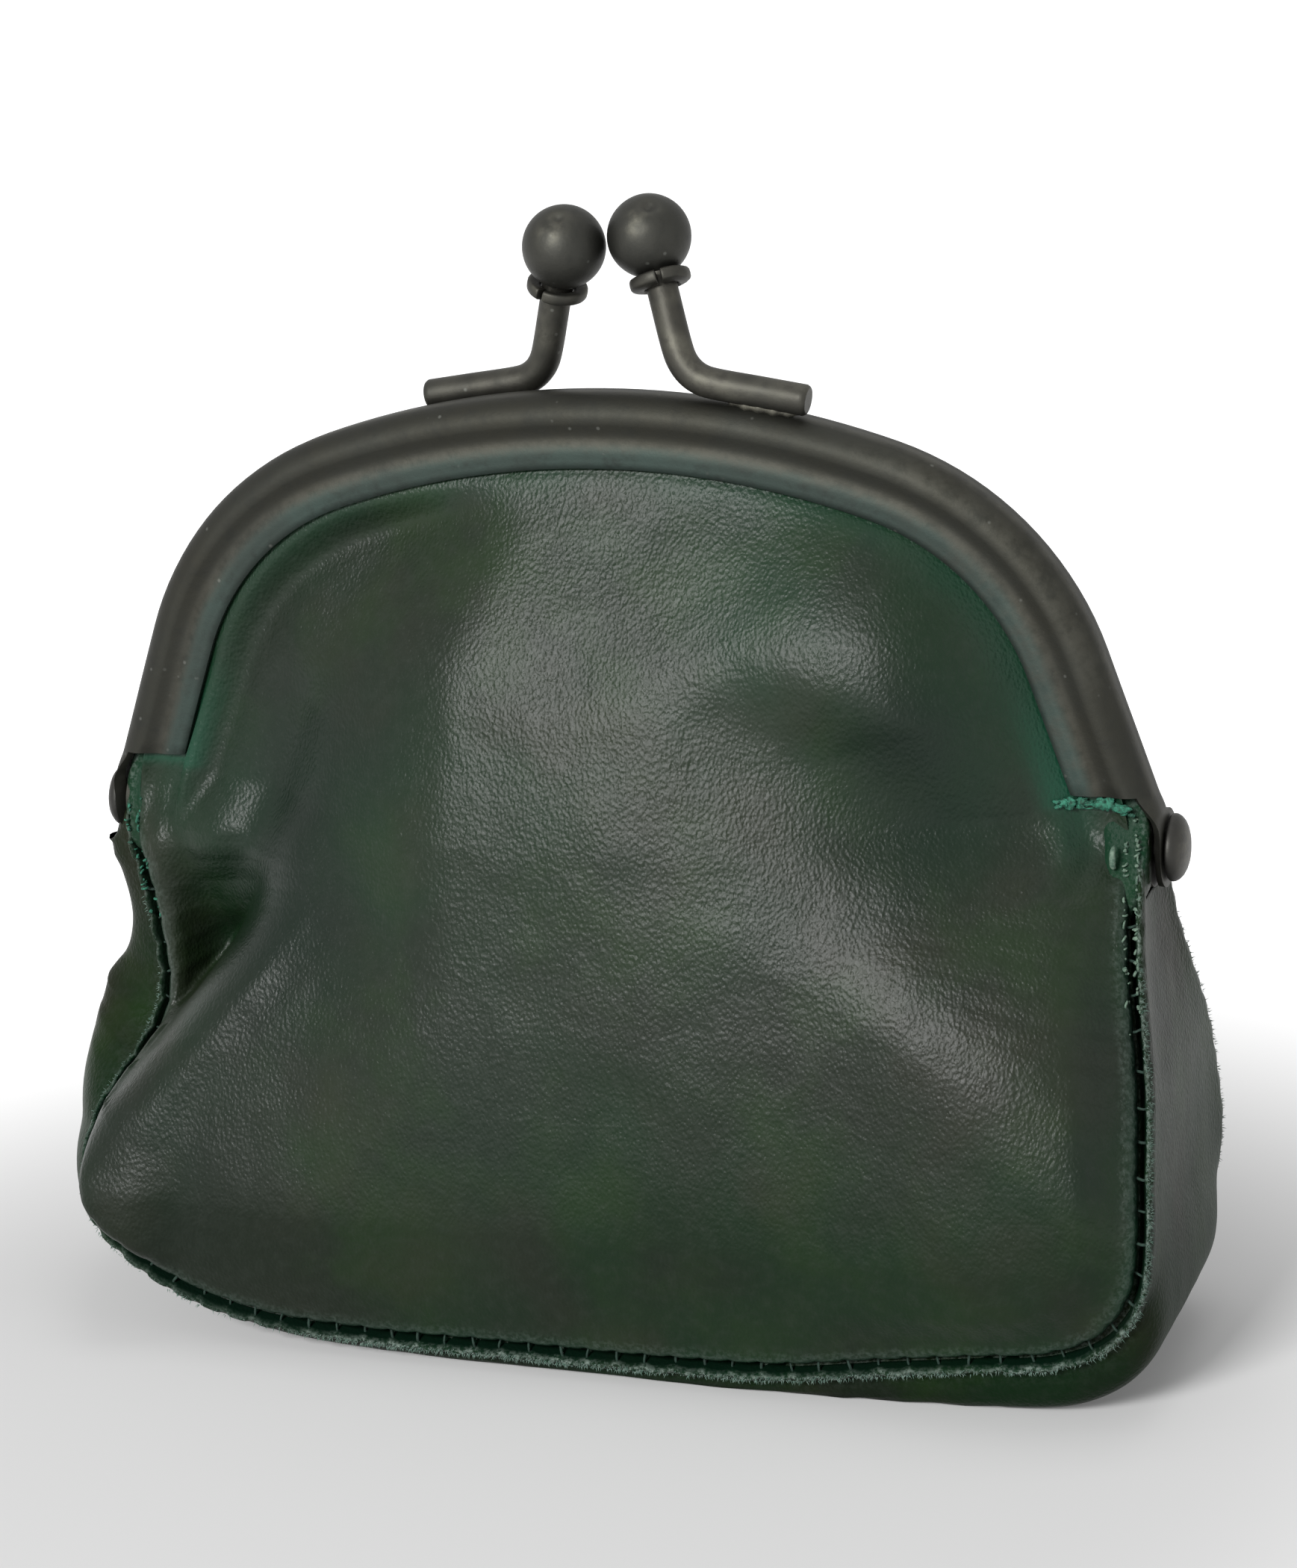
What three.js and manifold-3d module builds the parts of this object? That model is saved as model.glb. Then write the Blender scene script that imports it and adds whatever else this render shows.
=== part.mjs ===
// Kiss lock frame purse: two riveted arch frames with a ball clasp, and a sewn leather pouch.
// Millimetres, +Z up. The origin is on the base, straight below the middle of the hinge line.
// +X is to the right seen from the front, and the front faces -Y.
import * as THREE from 'three';
import { mergeVertices } from 'three/addons/utils/BufferGeometryUtils.js';
import Module from 'manifold-3d';

const wasm = await Module();
wasm.setup();

// Frame: the arch that both halves share, measured on its outer rim
const hingeHeight = 46;
const archRise = 38.6;
const archHalfWidth = 49.6;
const topArcRadius = 82.5;
const shoulderArcRadius = 28;
const legFlareDegrees = 19.3;

// Frame channel, open towards the middle of the arch
const sheet = 0.7;
const frameHalfDepth = 4.2;
const faceWidth = 6.4;
const innerWallWidth = 5.4;
const shoulderRadius = 2.4;
const beadRun = 1.3;
const beadDrop = 0.3;
const closingGap = 0.2;
const faceEndRise = 5.2;

// Ears that the rivets pass through, and how far inside the rim's half width the outer ones lie
const earRadius = 3.4;
const earInset = 1.1;
const earGap = 0.3;
const earNeckRise = 4.8;
const webEndRise = 3.6;
const webShy = 0.4;
const holeClearance = 0.2;

// Rivets
const rivetShankDiameter = 2.6;
const rivetHeadDiameter = 5.8;
const rivetHeadHeight = 1.7;
const rivetHeadRim = 0.5;
const rivetTailDiameter = 4.2;
const rivetTailHeight = 0.7;
const rivetSeat = 0.25;

// Ball clasp
const ballDiameter = 7.2;
const ballSpread = 7.3;
const claspShift = 0.65;
const ballLean = 0.6;
const frontBallRise = 12.9;
const backBallRise = 12.15;
const rodDiameter = 2.7;
const kneeReach = 7.35;
const kneeRun = 2.6;
const kneeRise = 2.8;
const footReach = 18.2;
const footDepth = 2.4;
const solderGap = 0.3;
const socketDepth = 1.5;
const socketClearance = 0.2;
const dimpleRadius = 0.8;
const dimpleDepth = 0.4;
const collarDiameter = 5.3;
const collarThickness = 1.1;
const collarSlitDegrees = 14;
const collarEase = 0.3;

// Leather
const leather = 1.3;
const leatherFit = 0.15;
const cordFit = 0.2;
const channelReach = 1.7;
const pieceGap = 0.3;
const seamFlat = 1.2;
const bellyHeight = 14;
const neckHalfDepth = 6;
const bellyRun = 22;
const seamRelease = 5.2;
const bendBelow = 5;
const bendAbove = 8;
const threadDiameter = 0.8;
const threadGap = 0.55;

// Depth of each side of the pouch from the closing plane: at its seam, and at the panel's belly
const frontSide = { face: -1, seam: 18.5, belly: 20.5, nest: 0, hollow: 1 };
const backSide = { face: 1, seam: 14, belly: 16.5, nest: 1, hollow: 0 };

// Where the seam leaves the frame plane, and where it has its full depth, as shares of the hinge height
const rightFlareShares = [1.109, 0.326];
const leftFlareShares = [0.652, 0.217];

// Hollow beside the big fold of the front panel: its two ends as shares, as the seam's, and its size
const hollowTopShares = [-0.568, 1.261];
const hollowFootShares = [-0.832, 0.652];
const hollowDepth = 6;
const hollowReach = 6.5;

// Seam outline below the frame, right to left, as shares of the half width and the hinge height
const pouchInset = 0.3;
const seamShares = [
  [0.933, 1.033], [0.939, 0.948], [0.949, 0.826], [0.966, 0.728], [0.986, 0.609], [0.996, 0.478],
  [1, 0.37], [0.986, 0.272], [0.937, 0.193], [0.852, 0.148], [0.71, 0.126], [0.548, 0.102],
  [0.365, 0.074], [0.122, 0.065], [-0.162, 0.065], [-0.406, 0.065], [-0.609, 0.08],
  [-0.771, 0.126], [-0.884, 0.2], [-0.953, 0.289], [-0.974, 0.391], [-0.941, 0.478],
  [-0.903, 0.565], [-0.89, 0.652], [-0.899, 0.761], [-0.919, 0.88], [-0.938, 0.967], [-0.931, 1.043],
];

// Gusset: its swell past the seam at the sides, by shares of the hinge height and of the most swell
const gussetSideSwell = 8.7;
const rightSwellShares = [[0.3, 0.05], [0.6, 0.13], [0.9, 0.075]];
const leftSwellShares = [[0.3, 0.57], [0.43, 0.8], [0.59, 1], [0.78, 0.5], [0.9, 0.57]];

// Its swell below the seam, at the left and right ends of the base
const leftBaseSwell = 2.3;
const rightBaseSwell = 6.5;
const gussetDrop = 3.8;

// Facet counts
const topArcSteps = 8;
const shoulderArcSteps = 7;
const shoulderSteps = 3;
const seamSteps = 46;
const acrossSteps = 8;
const roundSides = 18;
const ballRows = 9;
const collarSteps = 12;
const rodSides = 10;
const rodSteps = 16;
const threadSides = 5;
const threadSteps = 50;
const cordSides = 6;
const cordSteps = 34;

// A length that runs any cut past what it cuts
const overrun = 4;

const flare = THREE.MathUtils.degToRad(legFlareDegrees);
const archTop = hingeHeight + archRise;
const faceEnd = hingeHeight + faceEndRise;
const bendFoot = hingeHeight - bendBelow;
const bendTop = hingeHeight + bendAbove;
const gussetTop = hingeHeight - gussetDrop;
const topArcCentre = archTop - topArcRadius;
const legReach = archHalfWidth * Math.cos(flare) + hingeHeight * Math.sin(flare);
const earPlane = archHalfWidth - earInset;
const pouchHalfWidth = archHalfWidth - pouchInset;
const nest = sheet + earGap;
const arcJoint = Math.asin(
  (legReach - shoulderArcRadius - topArcCentre * Math.sin(flare)) / (topArcRadius - shoulderArcRadius)
) - flare;
const legTurn = Math.PI / 2 - flare;
const leatherFace = frameHalfDepth - sheet - leatherFit;
const leatherBack = leatherFace - leather;
const innerWallFace = closingGap / 2 + sheet;
const cordDiameter = leatherBack - innerWallFace - 2 * cordFit;
const leatherInset = sheet + channelReach;
const frameMargin = faceWidth - leatherInset + leatherFit;

const clamp = THREE.MathUtils.clamp;
const lerp = THREE.MathUtils.lerp;
const smooth = (value) => THREE.MathUtils.smoothstep(value, 0, 1);
const pouchSpot = ([x, z]) => new THREE.Vector2(x * pouchHalfWidth, z * hingeHeight);

// Turns a list of points and faces into a closed geometry without doubled corners
function solidOf(points, faces) {
  const soup = new THREE.BufferGeometry();
  soup.setAttribute('position', new THREE.Float32BufferAttribute(points.flatMap((p) => p.toArray()), 3));
  soup.setIndex(faces.flat());
  return tidy(soup);
}

// Joins doubled corners, drops collapsed faces and turns the faces outwards
function tidy(geometry) {
  geometry.deleteAttribute('normal');
  geometry.deleteAttribute('uv');
  const joined = mergeVertices(geometry, leather / 1e4);
  const index = joined.getIndex().array;
  const kept = [];
  for (let i = 0; i < index.length; i += 3) {
    const [a, b, c] = [index[i], index[i + 1], index[i + 2]];
    if (a !== b && b !== c && c !== a) kept.push(a, b, c);
  }
  if (volumeOf(joined, kept) < 0) kept.reverse();
  joined.setIndex(kept);
  return joined;
}

function volumeOf(geometry, index) {
  const position = geometry.getAttribute('position');
  const [a, b, c] = [new THREE.Vector3(), new THREE.Vector3(), new THREE.Vector3()];
  let sum = 0;
  for (let i = 0; i < index.length; i += 3) {
    a.fromBufferAttribute(position, index[i]);
    b.fromBufferAttribute(position, index[i + 1]);
    c.fromBufferAttribute(position, index[i + 2]);
    sum += a.dot(b.cross(c));
  }
  return sum;
}

function toManifold(geometry) {
  const clean = tidy(geometry);
  return new wasm.Manifold(new wasm.Mesh({
    numProp: 3,
    vertProperties: new Float32Array(clean.getAttribute('position').array),
    triVerts: new Uint32Array(clean.getIndex().array),
  }));
}

function fromManifold(manifold) {
  const mesh = manifold.getMesh();
  const geometry = new THREE.BufferGeometry();
  geometry.setAttribute('position', new THREE.BufferAttribute(mesh.vertProperties, 3));
  geometry.setIndex(new THREE.BufferAttribute(mesh.triVerts, 1));
  return geometry;
}

function boxBetween(low, high) {
  const size = new THREE.Vector3().subVectors(high, low);
  const box = new THREE.BoxGeometry(size.x, size.y, size.z);
  return box.translate(...new THREE.Vector3().addVectors(low, high).multiplyScalar(0.5).toArray());
}

// Closes two matching grids of points, an outer and an inner face, into one slab
function slab(outer, inner, wrapped) {
  const rows = outer.length;
  const columns = outer[0].length;
  const points = [...outer.flat(), ...inner.flat()];
  const at = (side, row, column) => side * rows * columns + (row % rows) * columns + column;
  const faces = [];
  const quad = (a, b, c, d) => faces.push([a, b, c], [a, c, d]);
  const lastRow = wrapped ? rows : rows - 1;
  for (let i = 0; i < lastRow; i++) {
    for (let j = 0; j < columns - 1; j++) {
      quad(at(0, i, j), at(0, i, j + 1), at(0, i + 1, j + 1), at(0, i + 1, j));
      quad(at(1, i, j), at(1, i + 1, j), at(1, i + 1, j + 1), at(1, i, j + 1));
    }
    quad(at(0, i, 0), at(0, i + 1, 0), at(1, i + 1, 0), at(1, i, 0));
    if (!wrapped) {
      const end = columns - 1;
      quad(at(0, i, end), at(1, i, end), at(1, i + 1, end), at(0, i + 1, end));
    }
  }
  if (!wrapped) {
    for (let j = 0; j < columns - 1; j++) {
      const last = rows - 1;
      quad(at(0, 0, j), at(1, 0, j), at(1, 0, j + 1), at(0, 0, j + 1));
      quad(at(0, last, j), at(0, last, j + 1), at(1, last, j + 1), at(1, last, j));
    }
  }
  return solidOf(points, faces);
}

// The same grid moved along its own normals, towards the side that inward points to
function offsetGrid(grid, distance, wrapped, inward) {
  const rows = grid.length;
  const columns = grid[0].length;
  const pick = (i, j) => grid[wrapped ? (i + rows) % rows : clamp(i, 0, rows - 1)][clamp(j, 0, columns - 1)];
  return grid.map((row, i) => row.map((point, j) => {
    const along = new THREE.Vector3().subVectors(pick(i + 1, j), pick(i - 1, j));
    const across = new THREE.Vector3().subVectors(pick(i, j + 1), pick(i, j - 1));
    const normal = new THREE.Vector3().crossVectors(along, across);
    if (normal.lengthSq() === 0) normal.copy(inward(point));
    if (normal.dot(inward(point)) < 0) normal.negate();
    return point.clone().addScaledVector(normal.normalize(), distance);
  }));
}

// A round bar along a curve, with flat ends
function bar(curve, diameter, sides, steps) {
  const section = new THREE.Shape();
  for (let i = 0; i < sides; i++) {
    const turn = (2 * Math.PI * i) / sides;
    const corner = [Math.cos(turn) * diameter / 2, Math.sin(turn) * diameter / 2];
    if (i === 0) section.moveTo(...corner);
    else section.lineTo(...corner);
  }
  section.closePath();
  return new THREE.ExtrudeGeometry(section, { steps, extrudePath: curve, bevelEnabled: false });
}

// A point of the arch at a turn from the top, so far inside its outer rim and so far down the leg
function archPoint(turn, inset, run = 0) {
  const side = Math.sign(turn);
  const size = Math.abs(turn);
  const reach = topArcRadius - shoulderArcRadius;
  const onTop = size <= arcJoint;
  const centreX = onTop ? 0 : reach * Math.sin(arcJoint);
  const centreZ = onTop ? topArcCentre : topArcCentre + reach * Math.cos(arcJoint);
  const radius = (onTop ? topArcRadius : shoulderArcRadius) - inset;
  return new THREE.Vector2(
    side * (centreX + radius * Math.sin(size) + run * Math.sin(flare)),
    centreZ + radius * Math.cos(size) - run * Math.cos(flare)
  );
}

// How far down the leg the arch, so far inside its rim, reaches a height
function legRunTo(height, inset) {
  return (archPoint(legTurn, inset).y - height) / Math.cos(flare);
}

// The turns of the arch from left to right, with both ends of the top arc among them
function archTurns() {
  const half = [];
  for (let i = 0; i <= topArcSteps / 2; i++) half.push((arcJoint * 2 * i) / topArcSteps);
  for (let i = 1; i <= shoulderArcSteps; i++) {
    half.push(lerp(arcJoint, legTurn, i / shoulderArcSteps));
  }
  return [...half.slice(1).reverse().map((turn) => -turn), ...half];
}

// The channel's section: inset from the outer rim, and depth from the closing plane
function channelSection() {
  const closing = closingGap / 2;
  const section = [[0, closing]];
  for (let i = 0; i <= shoulderSteps; i++) {
    const turn = (Math.PI / 2) * (i / shoulderSteps);
    section.push([
      shoulderRadius * (1 - Math.cos(turn)),
      frameHalfDepth - shoulderRadius * (1 - Math.sin(turn)),
    ]);
  }
  section.push([shoulderRadius + beadRun, frameHalfDepth - beadDrop]);
  section.push([faceWidth, frameHalfDepth - beadDrop / 2]);
  section.push([faceWidth, frameHalfDepth - sheet]);
  section.push([shoulderRadius, frameHalfDepth - sheet]);
  const inner = (shoulderRadius - sheet) * Math.SQRT1_2;
  section.push([shoulderRadius - inner, frameHalfDepth - shoulderRadius + inner]);
  section.push([sheet, frameHalfDepth - shoulderRadius]);
  section.push([sheet, innerWallFace]);
  section.push([innerWallWidth, innerWallFace]);
  section.push([innerWallWidth, closing]);
  return section;
}

// The bent channel of one half, so far inside the arch, with both legs run past the cut that ends them
function archChannel(inside) {
  const section = channelSection();
  const legRun = legRunTo(hingeHeight, inside);
  const turns = archTurns();
  const stations = [
    { turn: turns[0], run: legRun },
    ...turns.map((turn) => ({ turn, run: 0 })),
    { turn: turns[turns.length - 1], run: legRun },
  ];
  const rings = stations.map(({ turn, run }) => section.map(([inset, depth]) => {
    const p = archPoint(turn, inset + inside, run);
    return new THREE.Vector3(p.x, -depth, p.y);
  }));
  const count = section.length;
  const points = rings.flat();
  const faces = [];
  for (let i = 0; i < rings.length - 1; i++) {
    for (let j = 0; j < count; j++) {
      const k = (j + 1) % count;
      const [a, b] = [i * count + j, i * count + k];
      faces.push([a, b, b + count], [a, b + count, a + count]);
    }
  }
  const outline = section.map(([inset, depth]) => new THREE.Vector2(inset, depth));
  const lastRing = (rings.length - 1) * count;
  const turnsLeft = THREE.ShapeUtils.area(outline) > 0;
  for (const face of THREE.ShapeUtils.triangulateShape(outline, [])) {
    const agrees = THREE.ShapeUtils.area(face.map((corner) => outline[corner])) > 0 === turnsLeft;
    const [a, b, c] = agrees ? face : face.toReversed();
    faces.push([c, b, a], [a + lastRing, b + lastRing, c + lastRing]);
  }
  return solidOf(points, faces);
}

// One ear: a round lug on the rivet axis with a neck up to the rim of the channel
function ear(side, outerPlane) {
  const neckFoot = (earRadius + frameHalfDepth) / 2;
  const shape = new THREE.Shape();
  shape.moveTo(-closingGap / 2, earNeckRise);
  shape.lineTo(-closingGap / 2, earRadius);
  shape.absarc(0, 0, earRadius, Math.PI / 2, -Math.PI, true);
  shape.lineTo(-neckFoot, webEndRise);
  shape.lineTo(-frameHalfDepth + shoulderRadius / 2, earNeckRise);
  shape.closePath();
  const plate = new THREE.ExtrudeGeometry(shape, { depth: sheet, bevelEnabled: false, curveSegments: roundSides });
  plate.applyMatrix4(new THREE.Matrix4().makeBasis(
    new THREE.Vector3(0, 1, 0), new THREE.Vector3(0, 0, 1), new THREE.Vector3(1, 0, 0)
  ));
  const inner = side > 0 ? outerPlane - sheet : -outerPlane;
  return plate.translate(inner, 0, hingeHeight);
}

function alongX(geometry, side, x, height) {
  return geometry.rotateZ(-side * Math.PI / 2).translate(x, 0, height);
}

// One half of the frame, seen as the front half, and so far inside the arch
function frameHalf(inside) {
  let half = toManifold(archChannel(inside));
  const outerPlane = earPlane - inside;
  const webInset = sheet + inside;
  const shy = archPoint(legTurn, webInset, legRunTo(faceEnd, webInset)).x - webShy;
  const across = archHalfWidth + overrun;
  const deep = frameHalfDepth + overrun;
  const below = hingeHeight - overrun;
  half = half.subtract(toManifold(boxBetween(
    new THREE.Vector3(-shy, -deep, below), new THREE.Vector3(shy, deep, faceEnd)
  )));
  half = half.subtract(toManifold(boxBetween(
    new THREE.Vector3(-across, -deep, below), new THREE.Vector3(across, deep, hingeHeight + webEndRise)
  )));
  const holeRadius = rivetShankDiameter / 2 + holeClearance;
  for (const side of [-1, 1]) {
    half = half.add(toManifold(ear(side, outerPlane)));
    const drill = new THREE.CylinderGeometry(holeRadius, holeRadius, 2 * overrun, roundSides);
    half = half.subtract(toManifold(alongX(drill, side, side * outerPlane, hingeHeight)));
  }
  return fromManifold(half);
}

// A rivet with its domed head outside and its spread tail inside, head towards +Y before it is laid over
function rivet(side) {
  const earStack = 2 * sheet + earGap;
  const headRadius = rivetHeadDiameter / 2;
  const tailRadius = rivetTailDiameter / 2;
  const shankRadius = rivetShankDiameter / 2;
  const tailTop = -earStack - rivetSeat;
  const profile = [
    [0, tailTop - rivetTailHeight], [tailRadius - rivetTailHeight / 2, tailTop - rivetTailHeight],
    [tailRadius, tailTop - rivetTailHeight / 2], [tailRadius, tailTop],
    [shankRadius, tailTop], [shankRadius, rivetSeat], [headRadius, rivetSeat],
    [headRadius, rivetSeat + rivetHeadRim],
  ];
  const domeShares = [0.86, 0.62, 0.32];
  for (const share of domeShares) {
    const rise = (rivetHeadHeight - rivetHeadRim) * Math.sqrt(1 - share * share);
    profile.push([headRadius * share, rivetSeat + rivetHeadRim + rise]);
  }
  profile.push([0, rivetSeat + rivetHeadHeight]);
  const lathe = new THREE.LatheGeometry(profile.map(([r, y]) => new THREE.Vector2(r, y)), roundSides);
  return tidy(alongX(lathe, side, side * earPlane, hingeHeight));
}

// Height of a half's outer rim at a distance from the middle of the arch
function rimHeight(x, inside) {
  return topArcCentre + Math.sqrt((topArcRadius - inside) ** 2 - x * x);
}

// The places of one clasp, seen as the front one on the right; the group turns the back one round
function claspPlaces(ballRise, shift, inside) {
  const lift = rodDiameter / 2 + solderGap;
  const footAt = (reach) => new THREE.Vector3(reach + shift, -footDepth, rimHeight(reach + shift, inside) + lift);
  const ball = new THREE.Vector3(ballSpread / 2 + shift, ballLean, archTop + ballRise);
  const knee = footAt(kneeReach);
  const far = footAt(footReach);
  const near = knee.clone().addScaledVector(new THREE.Vector3().subVectors(far, knee).normalize(), kneeRun);
  const rise = new THREE.Vector3().subVectors(ball, knee).normalize();
  return { ball, near, far, knee, rise };
}

// The bent wire: a straight foot on the rim, a round knee, and a straight run into the ball
function claspRod(places) {
  const { ball, near, far, knee, rise } = places;
  const start = knee.clone().addScaledVector(rise, kneeRise);
  const end = ball.clone().addScaledVector(rise, socketDepth - socketClearance - ballDiameter / 2);
  const path = new THREE.CurvePath();
  path.add(new THREE.LineCurve3(far, near));
  path.add(new THREE.QuadraticBezierCurve3(near, knee, start));
  path.add(new THREE.LineCurve3(start, end));
  return tidy(bar(path, rodDiameter, rodSides, rodSteps));
}

// Lays a piece made along +Y on the line of the rising rod, with its own zero at the ball's middle
function onRod(geometry, places) {
  const turn = new THREE.Quaternion().setFromUnitVectors(new THREE.Vector3(0, 1, 0), places.rise);
  return geometry.applyQuaternion(turn).translate(...places.ball.toArray());
}

// The ball, with a blind hole for the rod below and a small dimple on top
function claspBall(places) {
  const radius = ballDiameter / 2;
  const socketRadius = rodDiameter / 2 + socketClearance;
  const mouth = Math.sqrt(radius * radius - socketRadius * socketRadius);
  const profile = [[0, socketDepth - radius], [socketRadius, socketDepth - radius], [socketRadius, -mouth]];
  const low = Math.asin(socketRadius / radius);
  const high = Math.PI - Math.asin(dimpleRadius / radius);
  for (let i = 1; i <= ballRows; i++) {
    const turn = lerp(low, high, i / ballRows);
    profile.push([radius * Math.sin(turn), -radius * Math.cos(turn)]);
  }
  profile.push([0, radius - dimpleDepth]);
  const lathe = new THREE.LatheGeometry(profile.map(([r, y]) => new THREE.Vector2(r, y)), roundSides);
  return tidy(onRod(lathe, places));
}

// The split ring that the ball sits on
function claspCollar(places) {
  const hole = rodDiameter / 2 + socketClearance;
  const slit = THREE.MathUtils.degToRad(collarSlitDegrees);
  const start = -Math.PI / 2 + slit / 2;
  const end = start + 2 * Math.PI - slit;
  const edge = collarThickness / 4;
  const outer = collarDiameter / 2 - edge;
  const shape = new THREE.Shape();
  shape.absarc(0, 0, outer, start, end, false);
  shape.absarc(0, 0, hole + edge, end, start, true);
  shape.closePath();
  const ring = new THREE.ExtrudeGeometry(shape, {
    depth: collarThickness - 2 * edge, curveSegments: collarSteps,
    bevelEnabled: true, bevelSize: edge, bevelThickness: edge, bevelSegments: 1,
  });
  const mouth = Math.sqrt((ballDiameter / 2) ** 2 - hole * hole);
  ring.rotateX(Math.PI / 2).translate(0, -mouth - edge - collarEase, 0);
  return tidy(onRod(ring, places));
}

// The paper cord packed beside the leather in the channel
function paperCord(inside) {
  const inset = inside + sheet + cordFit + cordDiameter;
  const depth = -(innerWallFace + leatherBack) / 2;
  const run = legRunTo(faceEnd + cordDiameter, inset);
  const ends = [-legTurn, legTurn].map((turn) => archPoint(turn, inset, run));
  const spots = [ends[0], ...archTurns().map((turn) => archPoint(turn, inset)), ends[1]];
  const curve = new THREE.CatmullRomCurve3(spots.map((p) => new THREE.Vector3(p.x, depth, p.y)));
  return tidy(bar(curve, cordDiameter, cordSides, cordSteps));
}

// The seam's run below the frame, from the right leg round the base to the left leg
function seamCurve() {
  const end = archPoint(legTurn, leatherInset, legRunTo(faceEnd, leatherInset));
  const spots = [
    new THREE.Vector3(end.x, 0, end.y),
    ...seamShares.map(pouchSpot).map((spot) => new THREE.Vector3(spot.x, 0, spot.y)),
    new THREE.Vector3(-end.x, 0, end.y),
  ];
  return new THREE.CatmullRomCurve3(spots);
}

// How far a side's seam stands from the closing plane at a place
function seamDepth(side, x, z) {
  const [top, foot] = (x > 0 ? rightFlareShares : leftFlareShares).map((share) => share * hingeHeight);
  const released = lerp(leatherFace, seamRelease, smooth((faceEnd - z) / (faceEnd - gussetTop)));
  const onSide = lerp(released, side.seam, smooth((top - z) / (top - foot)));
  const towardsMiddle = smooth((Math.abs(x) - archHalfWidth / 2) / (archHalfWidth / 2));
  return lerp(z < hingeHeight / 2 ? side.seam : released, onSide, towardsMiddle);
}

// Even places along a side's seam: the spot, the way out from the pouch, the depth and its steepness
function seamStations(side) {
  const curve = seamCurve();
  const spacing = curve.getLength() / seamSteps;
  const spots = curve.getSpacedPoints(seamSteps);
  const depths = spots.map((p) => seamDepth(side, p.x, p.z));
  return spots.map((p, i) => {
    const tangent = curve.getTangentAt(i / seamSteps);
    const before = depths[Math.max(i - 1, 0)];
    const after = depths[Math.min(i + 1, seamSteps)];
    const slope = Math.max(Math.abs(after - depths[i]), Math.abs(before - depths[i])) / spacing;
    return { p, normal: new THREE.Vector3(-tangent.z, 0, tangent.x), depth: depths[i], steep: Math.hypot(1, slope) };
  });
}

// The whole edge of a panel: the seam, then the arch from left to right, each with its own flat margin
function panelEdge(side) {
  const inside = side.nest * nest;
  const edge = seamStations(side).map(({ p, depth }) => {
    const near = smooth((p.z - gussetTop) / (faceEnd - gussetTop));
    const x = p.x - Math.sign(p.x) * inside * near;
    return { x, z: p.z, depth, flat: lerp(seamFlat, frameMargin, near) };
  });
  for (const turn of archTurns()) {
    const p = archPoint(turn, leatherInset + inside);
    edge.push({ x: p.x, z: p.y, depth: leatherFace, flat: frameMargin });
  }
  return edge;
}

// Depth that the hollow beside the fold takes from the front panel
function hollowAt(x, z) {
  const top = pouchSpot(hollowTopShares);
  const axis = pouchSpot(hollowFootShares).sub(top);
  const from = new THREE.Vector2(x, z).sub(top);
  const along = clamp(from.dot(axis) / axis.lengthSq(), 0, 1);
  const off = from.sub(axis.multiplyScalar(along)).length() / hollowReach;
  return hollowDepth * Math.exp(-off * off) * Math.sin(Math.PI * clamp(along, 0.2, 0.8));
}

// One leather panel as a shell of rings from its edge to its middle
function panelShell(side) {
  const ringShares = [0, 0.06, 0.16, 0.3, 0.48, 0.72, 1];
  const outer = panelEdge(side).map((spot) => {
    const middle = new THREE.Vector2(0, hingeHeight);
    const out = new THREE.Vector2(spot.x, spot.z).sub(middle);
    const reach = out.length();
    const distances = [0, ...ringShares.map((share) => lerp(spot.flat, reach, share))];
    return distances.map((distance) => {
      const p = middle.clone().addScaledVector(out, 1 - distance / reach);
      const fall = clamp((p.y - bellyHeight) / (archTop - bellyHeight), 0, 1);
      const belly = lerp(side.belly, neckHalfDepth, fall);
      const swell = 1 - (1 - clamp((distance - spot.flat) / bellyRun, 0, 1)) ** 2;
      const depth = lerp(spot.depth, belly, swell) - side.hollow * hollowAt(p.x, p.y) * swell;
      return new THREE.Vector3(p.x, side.face * depth, p.y);
    });
  });
  const inward = () => new THREE.Vector3(0, -side.face, 0);
  return slab(outer, offsetGrid(outer, leather, true, inward), true);
}

// The stretch of a panel between two heights
function stretchOf(shell, low, high) {
  const wide = archHalfWidth + overrun;
  const band = boxBetween(new THREE.Vector3(-wide, -wide, low), new THREE.Vector3(wide, wide, high));
  return fromManifold(toManifold(shell).intersect(toManifold(band)));
}

// How far the gusset stands out past the seam, halfway between the panels
function gussetSwell(x, z, down) {
  const spots = x > 0 ? rightSwellShares : leftSwellShares;
  const height = z / hingeHeight;
  let share = spots[0][1];
  for (let i = 1; i < spots.length; i++) {
    const [low, high] = [spots[i - 1], spots[i]];
    if (height > low[0]) share = lerp(low[1], high[1], smooth((height - low[0]) / (high[0] - low[0])));
  }
  const below = lerp(leftBaseSwell, rightBaseSwell, smooth((x / pouchHalfWidth + 1) / 2));
  return lerp(gussetSideSwell * share, below, down);
}

// The gusset: one strip round both sides and the base, flat where the purse stands
function gusset() {
  const outer = [];
  const inner = [];
  const backStations = seamStations(backSide);
  seamStations(frontSide).forEach((front, i) => {
    const { p, normal } = front;
    const down = smooth(-normal.z);
    const swell = gussetSwell(p.x, p.z, down);
    const roundness = lerp(2, 20, down);
    const row = [];
    for (let j = 0; j <= acrossSteps; j++) {
      const share = Math.sin((j / acrossSteps - 0.5) * Math.PI);
      const { depth, steep } = share < 0 ? front : backStations[i];
      const halfWidth = depth - (leather + pieceGap) * steep;
      const out = p.clone().addScaledVector(normal, swell * (1 - Math.abs(share) ** roundness));
      row.push(new THREE.Vector3(out.x, share * halfWidth, Math.max(out.z, 0)));
    }
    outer.push(row);
    inner.push(row.map((point) => point.clone().addScaledVector(normal, -leather)));
  });
  return stretchOf(slab(outer, inner, false), -overrun, gussetTop);
}

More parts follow.
